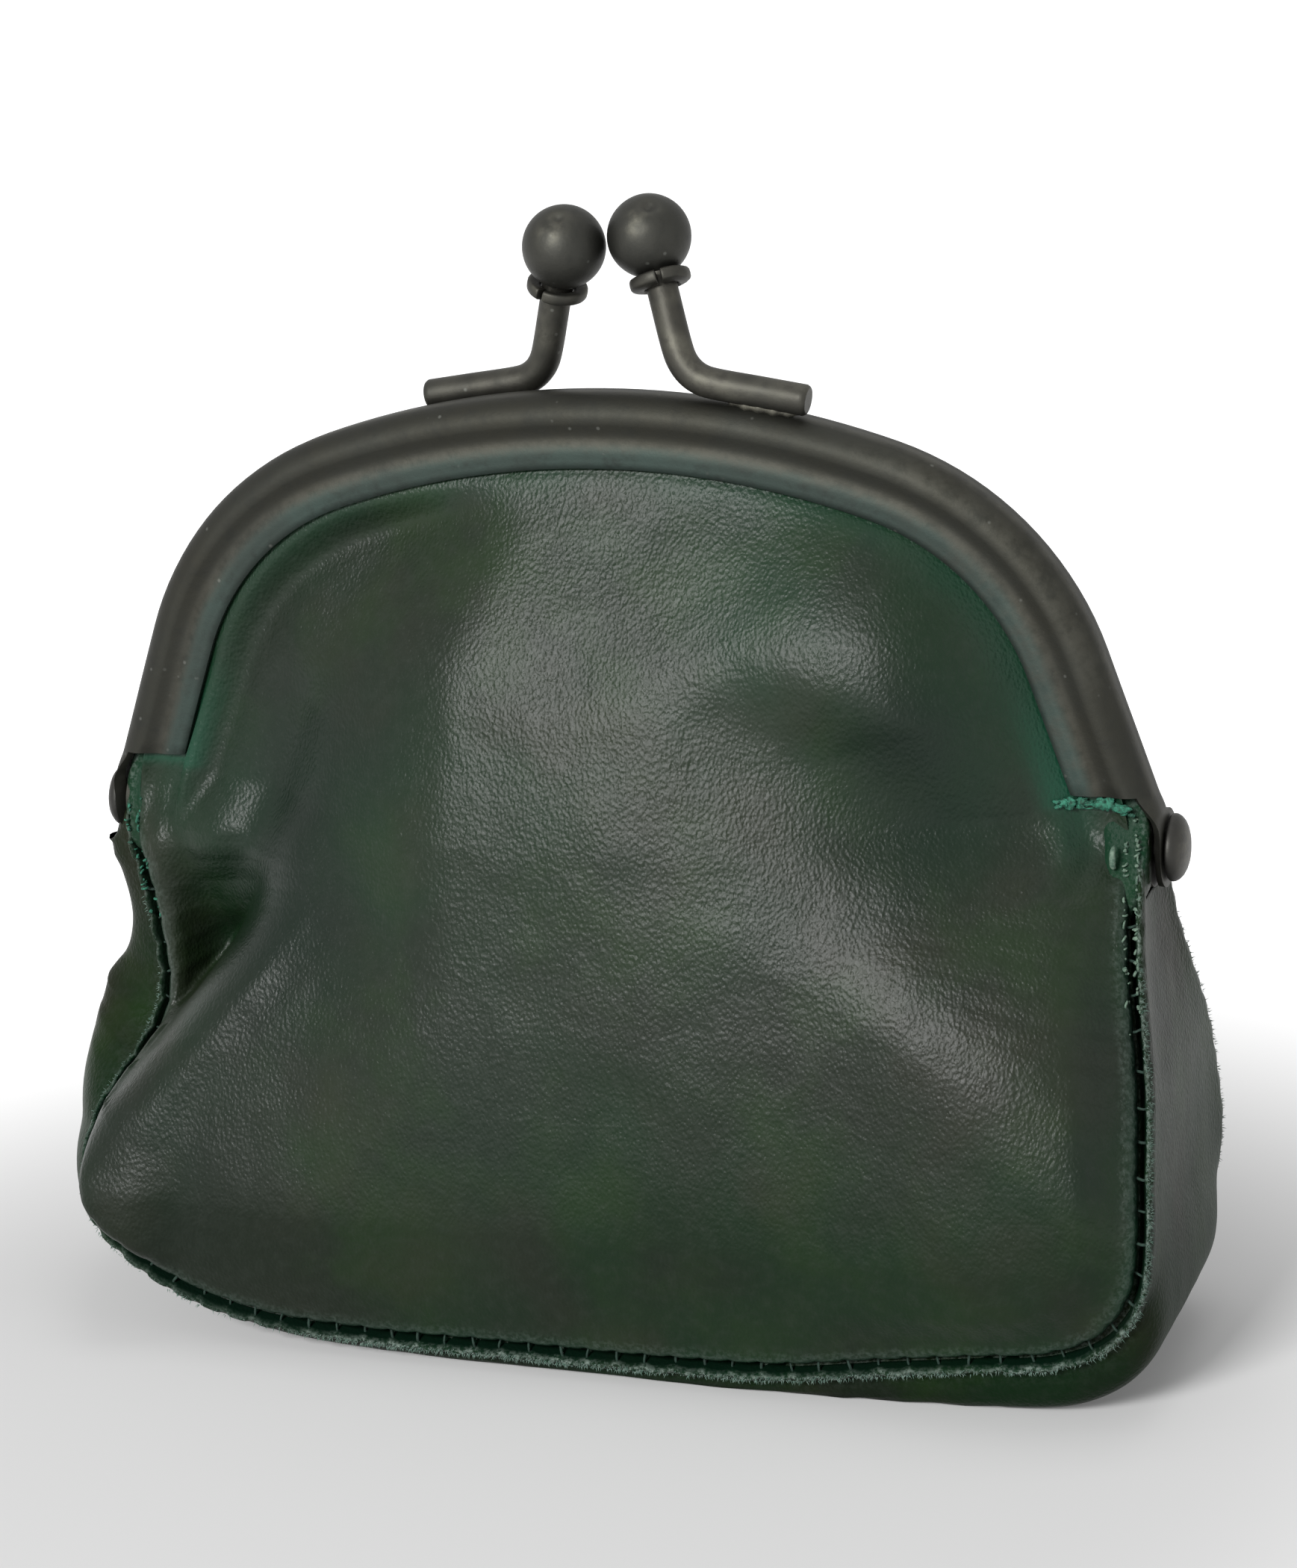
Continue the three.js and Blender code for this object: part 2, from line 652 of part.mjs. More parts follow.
// The line of stitches, inside the corner where a panel meets the gusset
function seamThread(side) {
  const inside = leather + threadGap + threadDiameter / 2;
  const spots = [];
  for (const { p, normal, depth, steep } of seamStations(side)) {
    if (p.z > bendFoot) continue;
    const spot = p.clone().addScaledVector(normal, -inside);
    spots.push(spot.setY(side.face * (depth - inside * steep)));
  }
  return tidy(bar(new THREE.CatmullRomCurve3(spots), threadDiameter, threadSides, threadSteps));
}

// Finishes
const gunmetal = { color: 0x4a4a45, roughness: 0.45, metalness: 0.9 };
const darkWire = { color: 0x3c3c38, roughness: 0.5, metalness: 0.85 };
const greenLeather = { color: 0x2a3a2e, roughness: 0.5, metalness: 0 };
const gussetLeather = { color: 0x2c3530, roughness: 0.5, metalness: 0 };
const paper = { color: 0xb9a98a, roughness: 0.9, metalness: 0 };
const greenThread = { color: 0x3f6a55, roughness: 0.8, metalness: 0 };

function named(name, geometry, finish) {
  geometry.computeVertexNormals();
  const mesh = new THREE.Mesh(geometry, new THREE.MeshStandardMaterial(finish));
  mesh.name = name;
  return mesh;
}

// One frame half, so far inside the arch, with its clasp and cord
function halfPieces(prefix, inside, ballRise, shift) {
  const places = claspPlaces(ballRise, shift, inside);
  return [
    named(`${prefix}_frame`, frameHalf(inside), gunmetal),
    named(`${prefix}_clasp_rod`, claspRod(places), darkWire),
    named(`${prefix}_clasp_collar`, claspCollar(places), darkWire),
    named(`${prefix}_clasp_ball`, claspBall(places), darkWire),
    named(`${prefix}_paper_cord`, paperCord(inside), paper),
  ];
}

// One panel in the three stretches that it moves in: in the frame, over the hinge line and below it
function panelPieces(prefix, side) {
  const shell = panelShell(side);
  return [
    named(`${prefix}_panel_top`, stretchOf(shell, bendTop + pieceGap, archTop), greenLeather),
    named(`${prefix}_panel_bend`, stretchOf(shell, bendFoot + pieceGap, bendTop), greenLeather),
    named(`${prefix}_panel`, stretchOf(shell, -overrun, bendFoot), greenLeather),
    named(`${prefix}_seam_thread`, seamThread(side), greenThread),
  ];
}

const purse = new THREE.Group();
const backHalf = new THREE.Group();
backHalf.rotation.z = Math.PI;
purse.add(...halfPieces('front', 0, frontBallRise, claspShift));
backHalf.add(...halfPieces('back', nest, backBallRise, -claspShift));
purse.add(backHalf);
purse.add(named('right_rivet', rivet(1), gunmetal), named('left_rivet', rivet(-1), gunmetal));
purse.add(...panelPieces('front', frontSide), ...panelPieces('back', backSide));
purse.add(named('gusset', gusset(), gussetLeather));

export default purse;
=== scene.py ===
# Kiss lock frame purse: a rolled arch frame in two riveted halves, a ball clasp, and a sewn
# leather pouch. Shapes are worked out in millimetres and scaled to metres once, by MM.
# +X is to the right seen from the front, the front faces -Y, and the base stands on z = 0.
import math
import random
from types import SimpleNamespace

import bmesh
import bpy
from mathutils import Matrix, Vector, noise


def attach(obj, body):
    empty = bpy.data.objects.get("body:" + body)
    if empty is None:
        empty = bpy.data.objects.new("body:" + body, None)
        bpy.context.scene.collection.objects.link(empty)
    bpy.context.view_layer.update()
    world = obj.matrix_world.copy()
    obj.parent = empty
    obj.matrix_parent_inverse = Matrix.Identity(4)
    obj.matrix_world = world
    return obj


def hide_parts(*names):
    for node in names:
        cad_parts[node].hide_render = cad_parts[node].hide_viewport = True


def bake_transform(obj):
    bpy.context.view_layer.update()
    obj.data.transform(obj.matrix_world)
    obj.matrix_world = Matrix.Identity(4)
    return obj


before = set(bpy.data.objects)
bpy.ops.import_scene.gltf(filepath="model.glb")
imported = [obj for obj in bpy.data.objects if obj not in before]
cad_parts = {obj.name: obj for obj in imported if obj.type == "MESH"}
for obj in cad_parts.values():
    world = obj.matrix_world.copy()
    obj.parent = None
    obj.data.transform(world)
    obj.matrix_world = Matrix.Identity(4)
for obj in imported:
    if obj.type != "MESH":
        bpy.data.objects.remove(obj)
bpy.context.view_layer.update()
MM = 0.001

# Arch of the frame, on its outer rim
HINGE = 46.0
ARCH_TOP = 84.6
ARCH_HALF = 49.6
TOP_RADIUS = 82.5
SHOULDER_RADIUS = 28.0
FLARE = math.radians(19.3)

# Channel of each half, its cut ends and its ears
SHEET = 0.7
HALF_DEPTH = 4.2
FACE_WIDTH = 6.4
WALL_WIDTH = 5.4
ROLL_RADIUS = 2.4
CLOSING = 0.1
FACE_END = 51.2
NEST = 1.0
EAR_PLANE = 48.5
EAR_RADIUS = 3.4

# Ball clasp
BALL_RADIUS = 3.6
BALL_SPREAD = 7.3
ROD_RADIUS = 1.35
FOOT_REACH = (7.35, 18.2)
CLASP_SHIFT = 0.65
COLLAR_RADIUS = 2.65

# Leather and its seam
LEATHER = 1.3
LEATHER_FACE = 3.35
LEATHER_INSET = 2.4
FRAME_MARGIN = 4.15
SEAM_FLAT = 1.2
SEAM_RELEASE = 5.2
GUSSET_TOP = 42.2
POUCH_HALF = 49.3
STITCH_PITCH = 2.65
STITCH_TOP = 45
INNER_THREAD_TOP = 41
CORD_RADIUS = 0.38


def clamp(value, low=0.0, high=1.0):
    return min(max(value, low), high)


def smooth(value):
    value = clamp(value)
    return value * value * (3 - 2 * value)


def lerp(start, end, share):
    return start + (end - start) * share


def hill(distance, width):
    """A soft hump: 1 at no distance, falling to nothing over a few widths."""
    return math.exp(-(distance / width) ** 2)


def pebble(x, y, z, size):
    """Even, repeatable unevenness between -1 and 1, with lumps of about that size."""
    return noise.noise(Vector((x, y, z)) / size)


def squared(turn, power):
    """Where a turn lies on a square with soft corners, from -1 to 1 both ways."""
    return [math.copysign(abs(v) ** power, v) for v in (math.cos(turn), math.sin(turn))]


# Camera, where the photograph was taken from: its yaw, pitch and roll in degrees, the spot that
# it looks at, its distance, and its focal length on a picture that is so many pixels high
CAMERA_TURNS = (19.75, 15.0, -2.62)
CAMERA_AIM = Vector((2.2, 0, 49.4))
CAMERA_AWAY = 341
FOCAL_PIXELS = 5187
PHOTO_HEIGHT = 2100


def stand_camera():
    yaw, pitch, roll = (math.radians(angle) for angle in CAMERA_TURNS)
    flat = math.cos(pitch)
    back = Vector((math.sin(yaw) * flat, -math.cos(yaw) * flat, math.sin(pitch)))
    level = Vector((math.cos(yaw), math.sin(yaw), 0))
    rise = back.cross(level)
    right = level * math.cos(roll) + rise * math.sin(roll)
    up = rise * math.cos(roll) - level * math.sin(roll)
    data = bpy.data.cameras.new("camera")
    data.lens = data.sensor_width * FOCAL_PIXELS / PHOTO_HEIGHT
    camera = bpy.data.objects.new("camera", data)
    camera.matrix_world = Matrix((right, up, back)).transposed().to_4x4()
    camera.location = (CAMERA_AIM + back * CAMERA_AWAY) * MM
    bpy.context.scene.collection.objects.link(camera)
    bpy.context.scene.camera = camera
    return right, up, back


VIEW_RIGHT, VIEW_UP, VIEW_BACK = stand_camera()


# Shader maths

class Wire:
    """One output in a node tree. Sums and products of values add Math nodes."""

    def __init__(self, nodes, socket):
        self.nodes = nodes
        self.socket = socket

    def maths(self, operation, first, second):
        return self.nodes.node("Math", {0: first, 1: second}, operation=operation)

    def __add__(self, other):
        return self.maths("ADD", self, other)

    def __radd__(self, other):
        return self.maths("ADD", other, self)

    def __mul__(self, other):
        return self.maths("MULTIPLY", self, other)

    def __rmul__(self, other):
        return self.maths("MULTIPLY", other, self)

    def cap_at(self, high):
        return self.maths("MINIMUM", self, high)

    def step(self, low, high):
        """0 at low, 1 at high, and a soft change between."""
        inputs = {"Value": self, "From Min": low, "From Max": high}
        return self.nodes.node("MapRange", inputs, interpolation_type="SMOOTHSTEP")


class Nodes:
    """The node tree of a material or of the world, and a short way to add nodes to it."""

    def __init__(self, owner):
        owner.use_nodes = True
        self.tree = owner.node_tree

    def feed(self, socket, value):
        if isinstance(value, Wire):
            self.tree.links.new(value.socket, socket)
        elif socket.type == "RGBA":
            socket.default_value = (*value, 1)
        else:
            socket.default_value = value

    def node(self, kind, inputs=(), out=0, **settings):
        made = self.tree.nodes.new("ShaderNode" + kind)
        for key, value in settings.items():
            setattr(made, key, value)
        for key, value in dict(inputs).items():
            self.feed(made.inputs[key], value)
        return Wire(self, made.outputs[out])

    def shown(self):
        """1 for what the camera sees, also in a reflection or through glass; 0 for plain light."""
        seen, glossy, through = (self.node("LightPath", out="Is " + kind + " Ray")
                                 for kind in ("Camera", "Glossy", "Transmission"))
        return (seen + glossy + through).cap_at(1.0)


class Finish(Nodes):
    """A node material with one Principled shader."""

    def __init__(self, name):
        self.material = bpy.data.materials.new(name)
        super().__init__(self.material)
        self.tree.nodes.clear()
        output = self.tree.nodes.new("ShaderNodeOutputMaterial")
        self.shader = self.tree.nodes.new("ShaderNodeBsdfPrincipled")
        self.tree.links.new(self.shader.outputs[0], output.inputs["Surface"])

    def place(self):
        return self.node("TexCoord", out="Object")

    def stretched(self, scale, turn):
        return self.node("Mapping", {"Vector": self.place(), "Scale": scale, "Rotation": turn})

    def noise(self, size_mm, detail=3.0, rough=0.5, warp=0.0, at=None):
        inputs = {"Vector": at or self.place(), "Scale": 1 / (size_mm * MM), "Detail": detail,
                  "Roughness": rough, "Distortion": warp}
        return self.node("TexNoise", inputs)

    def cells(self, size_mm, feature="F1", at=None):
        inputs = {"Vector": at or self.place(), "Scale": 1 / (size_mm * MM)}
        return self.node("TexVoronoi", inputs, out="Distance", feature=feature)

    def painted(self, name):
        """A value that the mesh carries at its points."""
        return self.node("Attribute", out="Fac", attribute_name=name)

    def blend(self, share, under, over):
        """One colour over another: the Mix node's factor, two colours and colour output."""
        return self.node("Mix", {0: share, 6: under, 7: over}, out=2, data_type="RGBA")

    def bump(self, height, depth_mm, under=None):
        inputs = {"Height": height, "Strength": 1.0, "Distance": depth_mm * MM}
        if under is not None:
            inputs["Normal"] = under
        return self.node("Bump", inputs)

    def wear(self, **sockets):
        """Feeds the shader: colour, rough, metal, normal and any fixed socket by its name."""
        names = {"colour": "Base Color", "glow": "Emission Color", "rough": "Roughness",
                 "metal": "Metallic", "normal": "Normal"}
        for key, value in sockets.items():
            self.feed(self.shader.inputs[names.get(key, key.replace("_", " "))], value)
        return self.material


# Dyes, rubbing and painted shade of the leather
CHARCOAL_DYE = (0.0078, 0.0127, 0.0068)
BOTTLE_DYE = (0.005, 0.0168, 0.0058)
MOSS_DYE = (0.0098, 0.025, 0.006)
BROWN_DYE = (0.019, 0.0175, 0.011)
WAX_FLECK = (0.028, 0.035, 0.027)
EDGE_GREEN = (0.008, 0.06, 0.033)
PAINTED_SHADE_COLOUR = (0.0012, 0.006, 0.0035)
RUBBED_LEATHER = (0.2, 0.25, 0.22)
GRAIN_SLANT = math.radians(-16)

# Stains, rubbing and painted highlights of the plated steel
SOOT = (0.02, 0.021, 0.019)
PALE_SPECK = (0.16, 0.165, 0.15)
RUBBED_AND_HIGHLIT_PLATING = (0.14, 0.135, 0.108)

# Floor: the purse's own spot in metres, and where its shadow gives way to white
FLOOR_MIDDLE = (-0.008, -0.03, 0)
SHADOW_EDGE = (0.055, 0.17)


def leather_finish(name, browns, greens, shine):
    """Waxed pull-up leather: charcoal, green and brown clouds, fine slanted grain, rubbed edges,
    painted shade.

    browns and greens say how strong those clouds are, and shine is the specular level.
    """
    finish = Finish(name)
    clouds = finish.noise(24, detail=2, rough=0.5, warp=0.5)
    patches = finish.noise(12, detail=3, rough=0.6)
    elsewhere = finish.noise(15, detail=2.5, at=finish.stretched((1, 1, 1), (1, 2, 3)))
    flecks = finish.noise(1.1, detail=4, rough=0.65)
    hairs = finish.noise(0.45, detail=3, rough=0.7)
    rubbed = (finish.painted("wear_and_highlight") * hairs.step(0.4, 0.66)).cap_at(1.0)
    colour = finish.blend(clouds.step(0.36, 0.64), CHARCOAL_DYE, BOTTLE_DYE)
    colour = finish.blend(patches.step(0.46, 0.7) * greens, colour, MOSS_DYE)
    colour = finish.blend(elsewhere.step(0.46, 0.7) * browns, colour, BROWN_DYE)
    colour = finish.blend(flecks.step(0.4, 0.8) * 0.25, colour, WAX_FLECK)
    colour = finish.blend(finish.painted("tint"), colour, EDGE_GREEN)
    # Painted shade: darker where the mesh marks the seam grooves, the fold's hollow and the long
    # valley
    colour = finish.blend(finish.painted("painted_shade"), colour, PAINTED_SHADE_COLOUR)
    colour = finish.blend(rubbed, colour, RUBBED_LEATHER)
    slanted = finish.stretched((1.0, 1.0, 0.75), (0, GRAIN_SLANT, 0))
    pores = finish.cells(0.27, feature="SMOOTH_F1", at=slanted)
    creases = finish.noise(0.31, detail=3, rough=0.6, warp=0.2, at=slanted)
    normal = finish.bump(finish.noise(6, detail=3, rough=0.45, warp=0.6), 0.1)
    normal = finish.bump(creases, 0.042, normal)
    normal = finish.bump(pores, 0.05, normal)
    rough = flecks * 0.1 + 0.32 + rubbed * 0.25
    return finish.wear(colour=colour, rough=rough, normal=normal, Specular_IOR_Level=shine)


def gunmetal_finish(name, base, warm, cool, rough=0.42):
    """Antique plating: smoky tone, brown where it is rubbed, cool in the hollow, pale specks, pale
    rubbing and painted highlights.

    base is the smoke's colour, warm the plating's own, and cool that of the flat inner band.
    """
    finish = Finish(name)
    smoke = finish.noise(8, detail=4, rough=0.6)
    stain = finish.noise(1.6, detail=4, rough=0.65)
    specks = finish.cells(1.5).step(0.15, 0.05) * finish.noise(3, detail=2).step(0.5, 0.6)
    colour = finish.blend(finish.painted("across").step(0.62, 0.8), warm, cool)
    colour = finish.blend(smoke.step(0.3, 0.7) * 0.5, colour, base)
    colour = finish.blend(stain.step(0.45, 0.75) * 0.45, colour, SOOT)
    colour = finish.blend(specks * 0.45, colour, PALE_SPECK)
    # Paler where the mesh marks it: rubbed plating, and on the frame and the balls painted
    # highlight too
    colour = finish.blend(finish.painted("wear_and_highlight") * stain.step(0.3, 0.7), colour, RUBBED_AND_HIGHLIT_PLATING)
    normal = finish.bump(finish.noise(0.5, detail=4, rough=0.7), 0.02)
    normal = finish.bump(stain, 0.025, normal)
    return finish.wear(colour=colour, rough=stain * 0.16 + rough, metal=0.85, normal=normal)


def thread_finish(name, pale, deep):
    """Fine strands between two tones, for thread, paper cord, nap and raw leather."""
    finish = Finish(name)
    strands = finish.noise(0.35, detail=3, rough=0.6)
    colour = finish.blend(strands.step(0.3, 0.7), deep, pale)
    normal = finish.bump(finish.noise(0.2, detail=2), 0.05)
    return finish.wear(colour=colour, rough=0.7 + strands * 0.2, normal=normal)


def floor_finish():
    """A pale sweep that keeps the soft shadow, and glows white to the camera further off."""
    finish = Finish("pale_floor")
    away = finish.node("VectorMath", {0: finish.place(), 1: FLOOR_MIDDLE}, out="Value",
                       operation="DISTANCE")
    grain = finish.noise(30, detail=2) * 0.01
    colour = finish.blend(grain, (0.66, 0.66, 0.66), (0.64, 0.64, 0.64))
    glow = finish.blend(away.step(*SHADOW_EDGE), (0.1, 0.1, 0.1), (1, 1, 1))
    glow = finish.blend(finish.shown(), (0, 0, 0), glow)
    return finish.wear(colour=colour, rough=0.9, glow=glow, Emission_Strength=1.0,
                       Specular_IOR_Level=0.0)


PANEL_LEATHER = leather_finish("panel_leather_finish", 0.45, 0.6, 0.2)
GUSSET_LEATHER = leather_finish("gusset_leather_finish", 0.6, 0.8, 0.04)
FRAME_METAL = gunmetal_finish("frame_metal_finish", (0.0265, 0.0285, 0.025),
                              (0.028, 0.0275, 0.0215), (0.038, 0.055, 0.048), rough=0.5)
RIVET_METAL = gunmetal_finish("rivet_metal_finish", (0.034, 0.034, 0.032),
                              (0.037, 0.036, 0.032), (0.032, 0.033, 0.031))
WIRE_METAL = gunmetal_finish("clasp_metal_finish", (0.039, 0.04, 0.035),
                             (0.045, 0.043, 0.036), (0.038, 0.04, 0.036), rough=0.46)
BALL_METAL = gunmetal_finish("ball_metal_finish", (0.034, 0.035, 0.031),
                             (0.039, 0.0385, 0.033), (0.038, 0.039, 0.036), rough=0.46)
THREAD = thread_finish("seam_thread_finish", (0.014, 0.04, 0.027), (0.005, 0.018, 0.012))
PALE_THREAD = thread_finish("loose_thread_finish", (0.17, 0.24, 0.18), (0.05, 0.1, 0.07))
NAP = thread_finish("nap_finish", (0.16, 0.22, 0.19), (0.05, 0.11, 0.08))
RAW_EDGE = thread_finish("raw_edge_finish", (0.03, 0.19, 0.12), (0.004, 0.032, 0.018))
PAPER = thread_finish("packing_cord_finish", (0.5, 0.4, 0.27), (0.3, 0.23, 0.14))


# Meshes

def make_piece(name, points, faces, material, painted=(), soft=True):
    """A mesh object from spots in millimetres, with its faces turned outwards."""
    mesh = bpy.data.meshes.new(name)
    mesh.from_pydata([Vector(point) * MM for point in points], [], faces)
    shell = bmesh.new()
    shell.from_mesh(mesh)
    bmesh.ops.recalc_face_normals(shell, faces=shell.faces)
    shell.to_mesh(mesh)
    shell.free()
    for key, values in dict(painted).items():
        mesh.attributes.new(key, "FLOAT", "POINT").data.foreach_set("value", values)
    mesh.materials.append(material)
    mesh.polygons.foreach_set("use_smooth", [soft] * len(mesh.polygons))
    piece = bpy.data.objects.new(name, mesh)
    bpy.context.scene.collection.objects.link(piece)
    return piece


def skin(first, rows, columns, close_columns=False):
    """Faces over a grid of points that was added row by row from point number first."""
    faces = []
    for row in range(rows - 1):
        here, after = first + row * columns, first + (row + 1) * columns
        for column in range(columns if close_columns else columns - 1):
            beside = (column + 1) % columns
            faces.append((here + column, here + beside, after + beside, after + column))
    return faces


def polished(piece, width_mm, segments=2):
    """Small rounds on the piece's sharp edges."""
    rounds = piece.modifiers.new("edges", "BEVEL")
    rounds.width = width_mm * MM
    rounds.segments = segments
    rounds.limit_method = "ANGLE"
    rounds.angle_limit = math.radians(38)
    rounds.use_clamp_overlap = True
    piece.modifiers.new("shading", "WEIGHTED_NORMAL")


def turned(point):
    """The same place on the back half, which is the front half turned round."""
    return (-point[0], -point[1], point[2])


# The two sides of the purse: which way each faces, how far its frame nests inside the other, how
# a point of the front half is put on it, whether it has the big fold, how far out its seam and
# its belly lie, how high its ball stands over the arch, and how far the clasp is shifted
FRONT = SimpleNamespace(prefix="front", body="front_half", face=-1, inside=0, put=tuple, folded=1,
                        seam=18.5, belly=20.5, ball_rise=12.9, shift=CLASP_SHIFT)
BACK = SimpleNamespace(prefix="back", body="back_half", face=1, inside=NEST, put=turned, folded=0,
                       seam=14.0, belly=16.5, ball_rise=12.15, shift=-CLASP_SHIFT)
SIDES = (FRONT, BACK)


def even_run(spots, count):
    """Even places along a smooth line through the spots, with the way that it runs at each."""
    spots = [Vector(spot) for spot in spots]
    padded = [spots[0] * 2 - spots[1], *spots, spots[-1] * 2 - spots[-2]]
    fine = []
    steps = max(8, 4 * count // len(spots))
    for a, b, c, d in zip(padded, padded[1:], padded[2:], padded[3:]):
        ab, bc, cd = (max((q - p).length ** 0.5, 1e-4) for p, q in ((a, b), (b, c), (c, d)))
        leave = ((b - a) / ab - (c - a) / (ab + bc) + (c - b) / bc) * bc
        arrive = ((c - b) / bc - (d - b) / (bc + cd) + (d - c) / cd) * bc
        for step in range(steps):
            t = step / steps
            fine.append(b * (2 * t ** 3 - 3 * t * t + 1) + leave * (t ** 3 - 2 * t * t + t)
                        + c * (3 * t * t - 2 * t ** 3) + arrive * (t ** 3 - t * t))
    fine.append(spots[-1])
    reach = [0.0]
    for p, q in zip(fine, fine[1:]):
        reach.append(reach[-1] + (q - p).length)
    run, place = [], 0
    for step in range(count + 1):
        goal = reach[-1] * step / count
        while place < len(fine) - 2 and reach[place + 1] < goal:
            place += 1
        share = (goal - reach[place]) / max(reach[place + 1] - reach[place], 1e-9)
        way = (fine[place + 1] - fine[place]).normalized()
        run.append((fine[place].lerp(fine[place + 1], clamp(share)), way))
    return run


def tube(spots, count, radius, sides, lobes=0, twist=0.0, lobe_depth=0.0, ends=0.35):
    """Points and faces of a round or twisted strand along the spots. radius may be a function."""
    run = even_run(spots, count)
    side = run[0][1].orthogonal().normalized()
    points = []
    for place, (spot, way) in enumerate(run):
        side = (side - way * side.dot(way)).normalized()
        other = way.cross(side)
        share = place / count
        wide = radius(share) if callable(radius) else radius
        if ends and (place == 0 or place == count):
            wide *= 1 - ends
        for step in range(sides):
            turn = 2 * math.pi * step / sides
            swell = 1 + lobe_depth * math.cos(lobes * (turn + twist * share)) if lobes else 1
            points.append(spot + (side * math.cos(turn) + other * math.sin(turn)) * wide * swell)
    faces = skin(0, count + 1, sides, close_columns=True)
    faces.append(tuple(range(sides)))
    faces.append(tuple(range(count * sides, (count + 1) * sides)))
    return points, faces


def gather(parts):
    """Several bodies' points and faces as one list of each."""
    points, faces = [], []
    for more_points, more_faces in parts:
        start = len(points)
        points.extend(more_points)
        faces.extend(tuple(corner + start for corner in face) for face in more_faces)
    return points, faces


def spun(profile, centre, axis, sides, wobble=None):
    """A turned body: profile as (radius, rise) spots, both ends on the axis."""
    axis = Vector(axis).normalized()
    side = axis.orthogonal().normalized()
    other = axis.cross(side)
    points = [Vector(centre) + axis * profile[0][1]]
    for radius, rise in profile[1:-1]:
        for step in range(sides):
            turn = 2 * math.pi * step / sides
            more = wobble(turn, rise) if wobble else 0
            points.append(Vector(centre) + axis * rise
                          + (side * math.cos(turn) + other * math.sin(turn)) * (radius + more))
    points.append(Vector(centre) + axis * profile[-1][1])
    rows = len(profile) - 2
    faces = skin(1, rows, sides, close_columns=True)
    last = len(points) - 1
    for step in range(sides):
        after = (step + 1) % sides
        faces.append((0, 1 + after, 1 + step))
        faces.append((last, 1 + (rows - 1) * sides + step, 1 + (rows - 1) * sides + after))
    return points, faces


# Arch of the frame

REACH = TOP_RADIUS - SHOULDER_RADIUS
TOP_CENTRE = ARCH_TOP - TOP_RADIUS
LEG_REACH = ARCH_HALF * math.cos(FLARE) + HINGE * math.sin(FLARE)
ARC_JOINT = math.asin((LEG_REACH - SHOULDER_RADIUS - TOP_CENTRE * math.sin(FLARE)) / REACH) - FLARE
LEG_TURN = math.pi / 2 - FLARE


def arch_point(turn, inset, run=0.0):
    """(x, z) on the arch at a turn from its top, so far inside the rim and so far down the leg."""
    side = math.copysign(1, turn)
    size = abs(turn)
    on_top = size <= ARC_JOINT
    centre_x = 0 if on_top else REACH * math.sin(ARC_JOINT)
    centre_z = TOP_CENTRE if on_top else TOP_CENTRE + REACH * math.cos(ARC_JOINT)
    radius = (TOP_RADIUS if on_top else SHOULDER_RADIUS) - inset
    return (side * (centre_x + radius * math.sin(size) + run * math.sin(FLARE)),
            centre_z + radius * math.cos(size) - run * math.cos(FLARE))


def leg_run_to(height, inset):
    return (arch_point(LEG_TURN, inset)[1] - height) / math.cos(FLARE)


def arch_turns(top_steps, shoulder_steps):
    half = [ARC_JOINT * step / top_steps for step in range(top_steps + 1)]
    half += [lerp(ARC_JOINT, LEG_TURN, step / shoulder_steps)
             for step in range(1, shoulder_steps + 1)]
    return [-turn for turn in reversed(half[1:])] + half


def groove_drop(inset):
    return 0.42 * smooth((inset - 1.9) / 1.9)


def face_drop(inset):
    """How far the outer face lies back from the frontmost spot: a roll, a groove, a flat band."""
    rolled = 0.0
    if inset < ROLL_RADIUS:
        rolled = ROLL_RADIUS - math.sqrt(ROLL_RADIUS ** 2 - (ROLL_RADIUS - inset) ** 2)
    groove = groove_drop(inset) - 0.22 * smooth((inset - 3.7) / 1.3)
    return rolled + groove + 0.08 * smooth((inset - 4.9) / 1.2) + 0.2 * smooth((inset - 6.0) / 0.4)


# Steps round the channel's roll and over its face, the step of the roll where an ear begins, the
# spots on its outer corner that are painted pale as rubbing and as a painted highlight, and the
# heights of an ear's rows over the hinge
ROLL_STEPS = 8
FACE_STEPS = 18
EAR_STEP = 5
RUBBED_AND_LIT_CORNER = (3, 4, 5)
EAR_RISES = [4.8, 4.3, 3.9, 3.6, 3.4, 3.2, 2.9, 2.4, 1.7, 0.9, 0.0, -0.9, -1.7, -2.3, -2.8, -3.1,
             -3.3, -3.38]


def channel_section():
    """The rolled channel as (inset, depth): its outer face, then back along the inside.

    Also how many spots the outer face has, and the numbers of the last outer and the first inner
    spot that run on into the ear.
    """
    rim = [(0.12, CLOSING), (0.0, 0.3), (0.0, 0.8), (0.0, 1.3)]
    roll_turns = [math.pi / 2 * step / ROLL_STEPS for step in range(ROLL_STEPS + 1)]
    insets = [ROLL_RADIUS * (1 - math.cos(turn)) for turn in roll_turns]
    insets += [lerp(ROLL_RADIUS, FACE_WIDTH, step / FACE_STEPS)
               for step in range(1, FACE_STEPS + 1)]
    outer = rim + [(inset, HALF_DEPTH - face_drop(inset)) for inset in insets]
    under_face = [(inset, HALF_DEPTH - face_drop(min(inset, 5.8)) - SHEET)
                  for inset in (6.38, 6.1, 5.2, 4.3, 3.4)]
    under_roll = []
    for turn in reversed(roll_turns):
        radius = ROLL_RADIUS - SHEET
        inset = ROLL_RADIUS - radius * math.cos(turn)
        depth = HALF_DEPTH - ROLL_RADIUS + radius * math.sin(turn)
        under_roll.append((inset, depth - groove_drop(inset)))
    wall = [(SHEET, CLOSING + SHEET), (WALL_WIDTH, CLOSING + SHEET), (WALL_WIDTH, CLOSING),
            (SHEET, CLOSING)]
    ear_last = len(rim) + EAR_STEP
    ear_first = len(outer) + len(under_face) + ROLL_STEPS - EAR_STEP
    return outer + under_face + under_roll + wall, len(outer), ear_last, ear_first


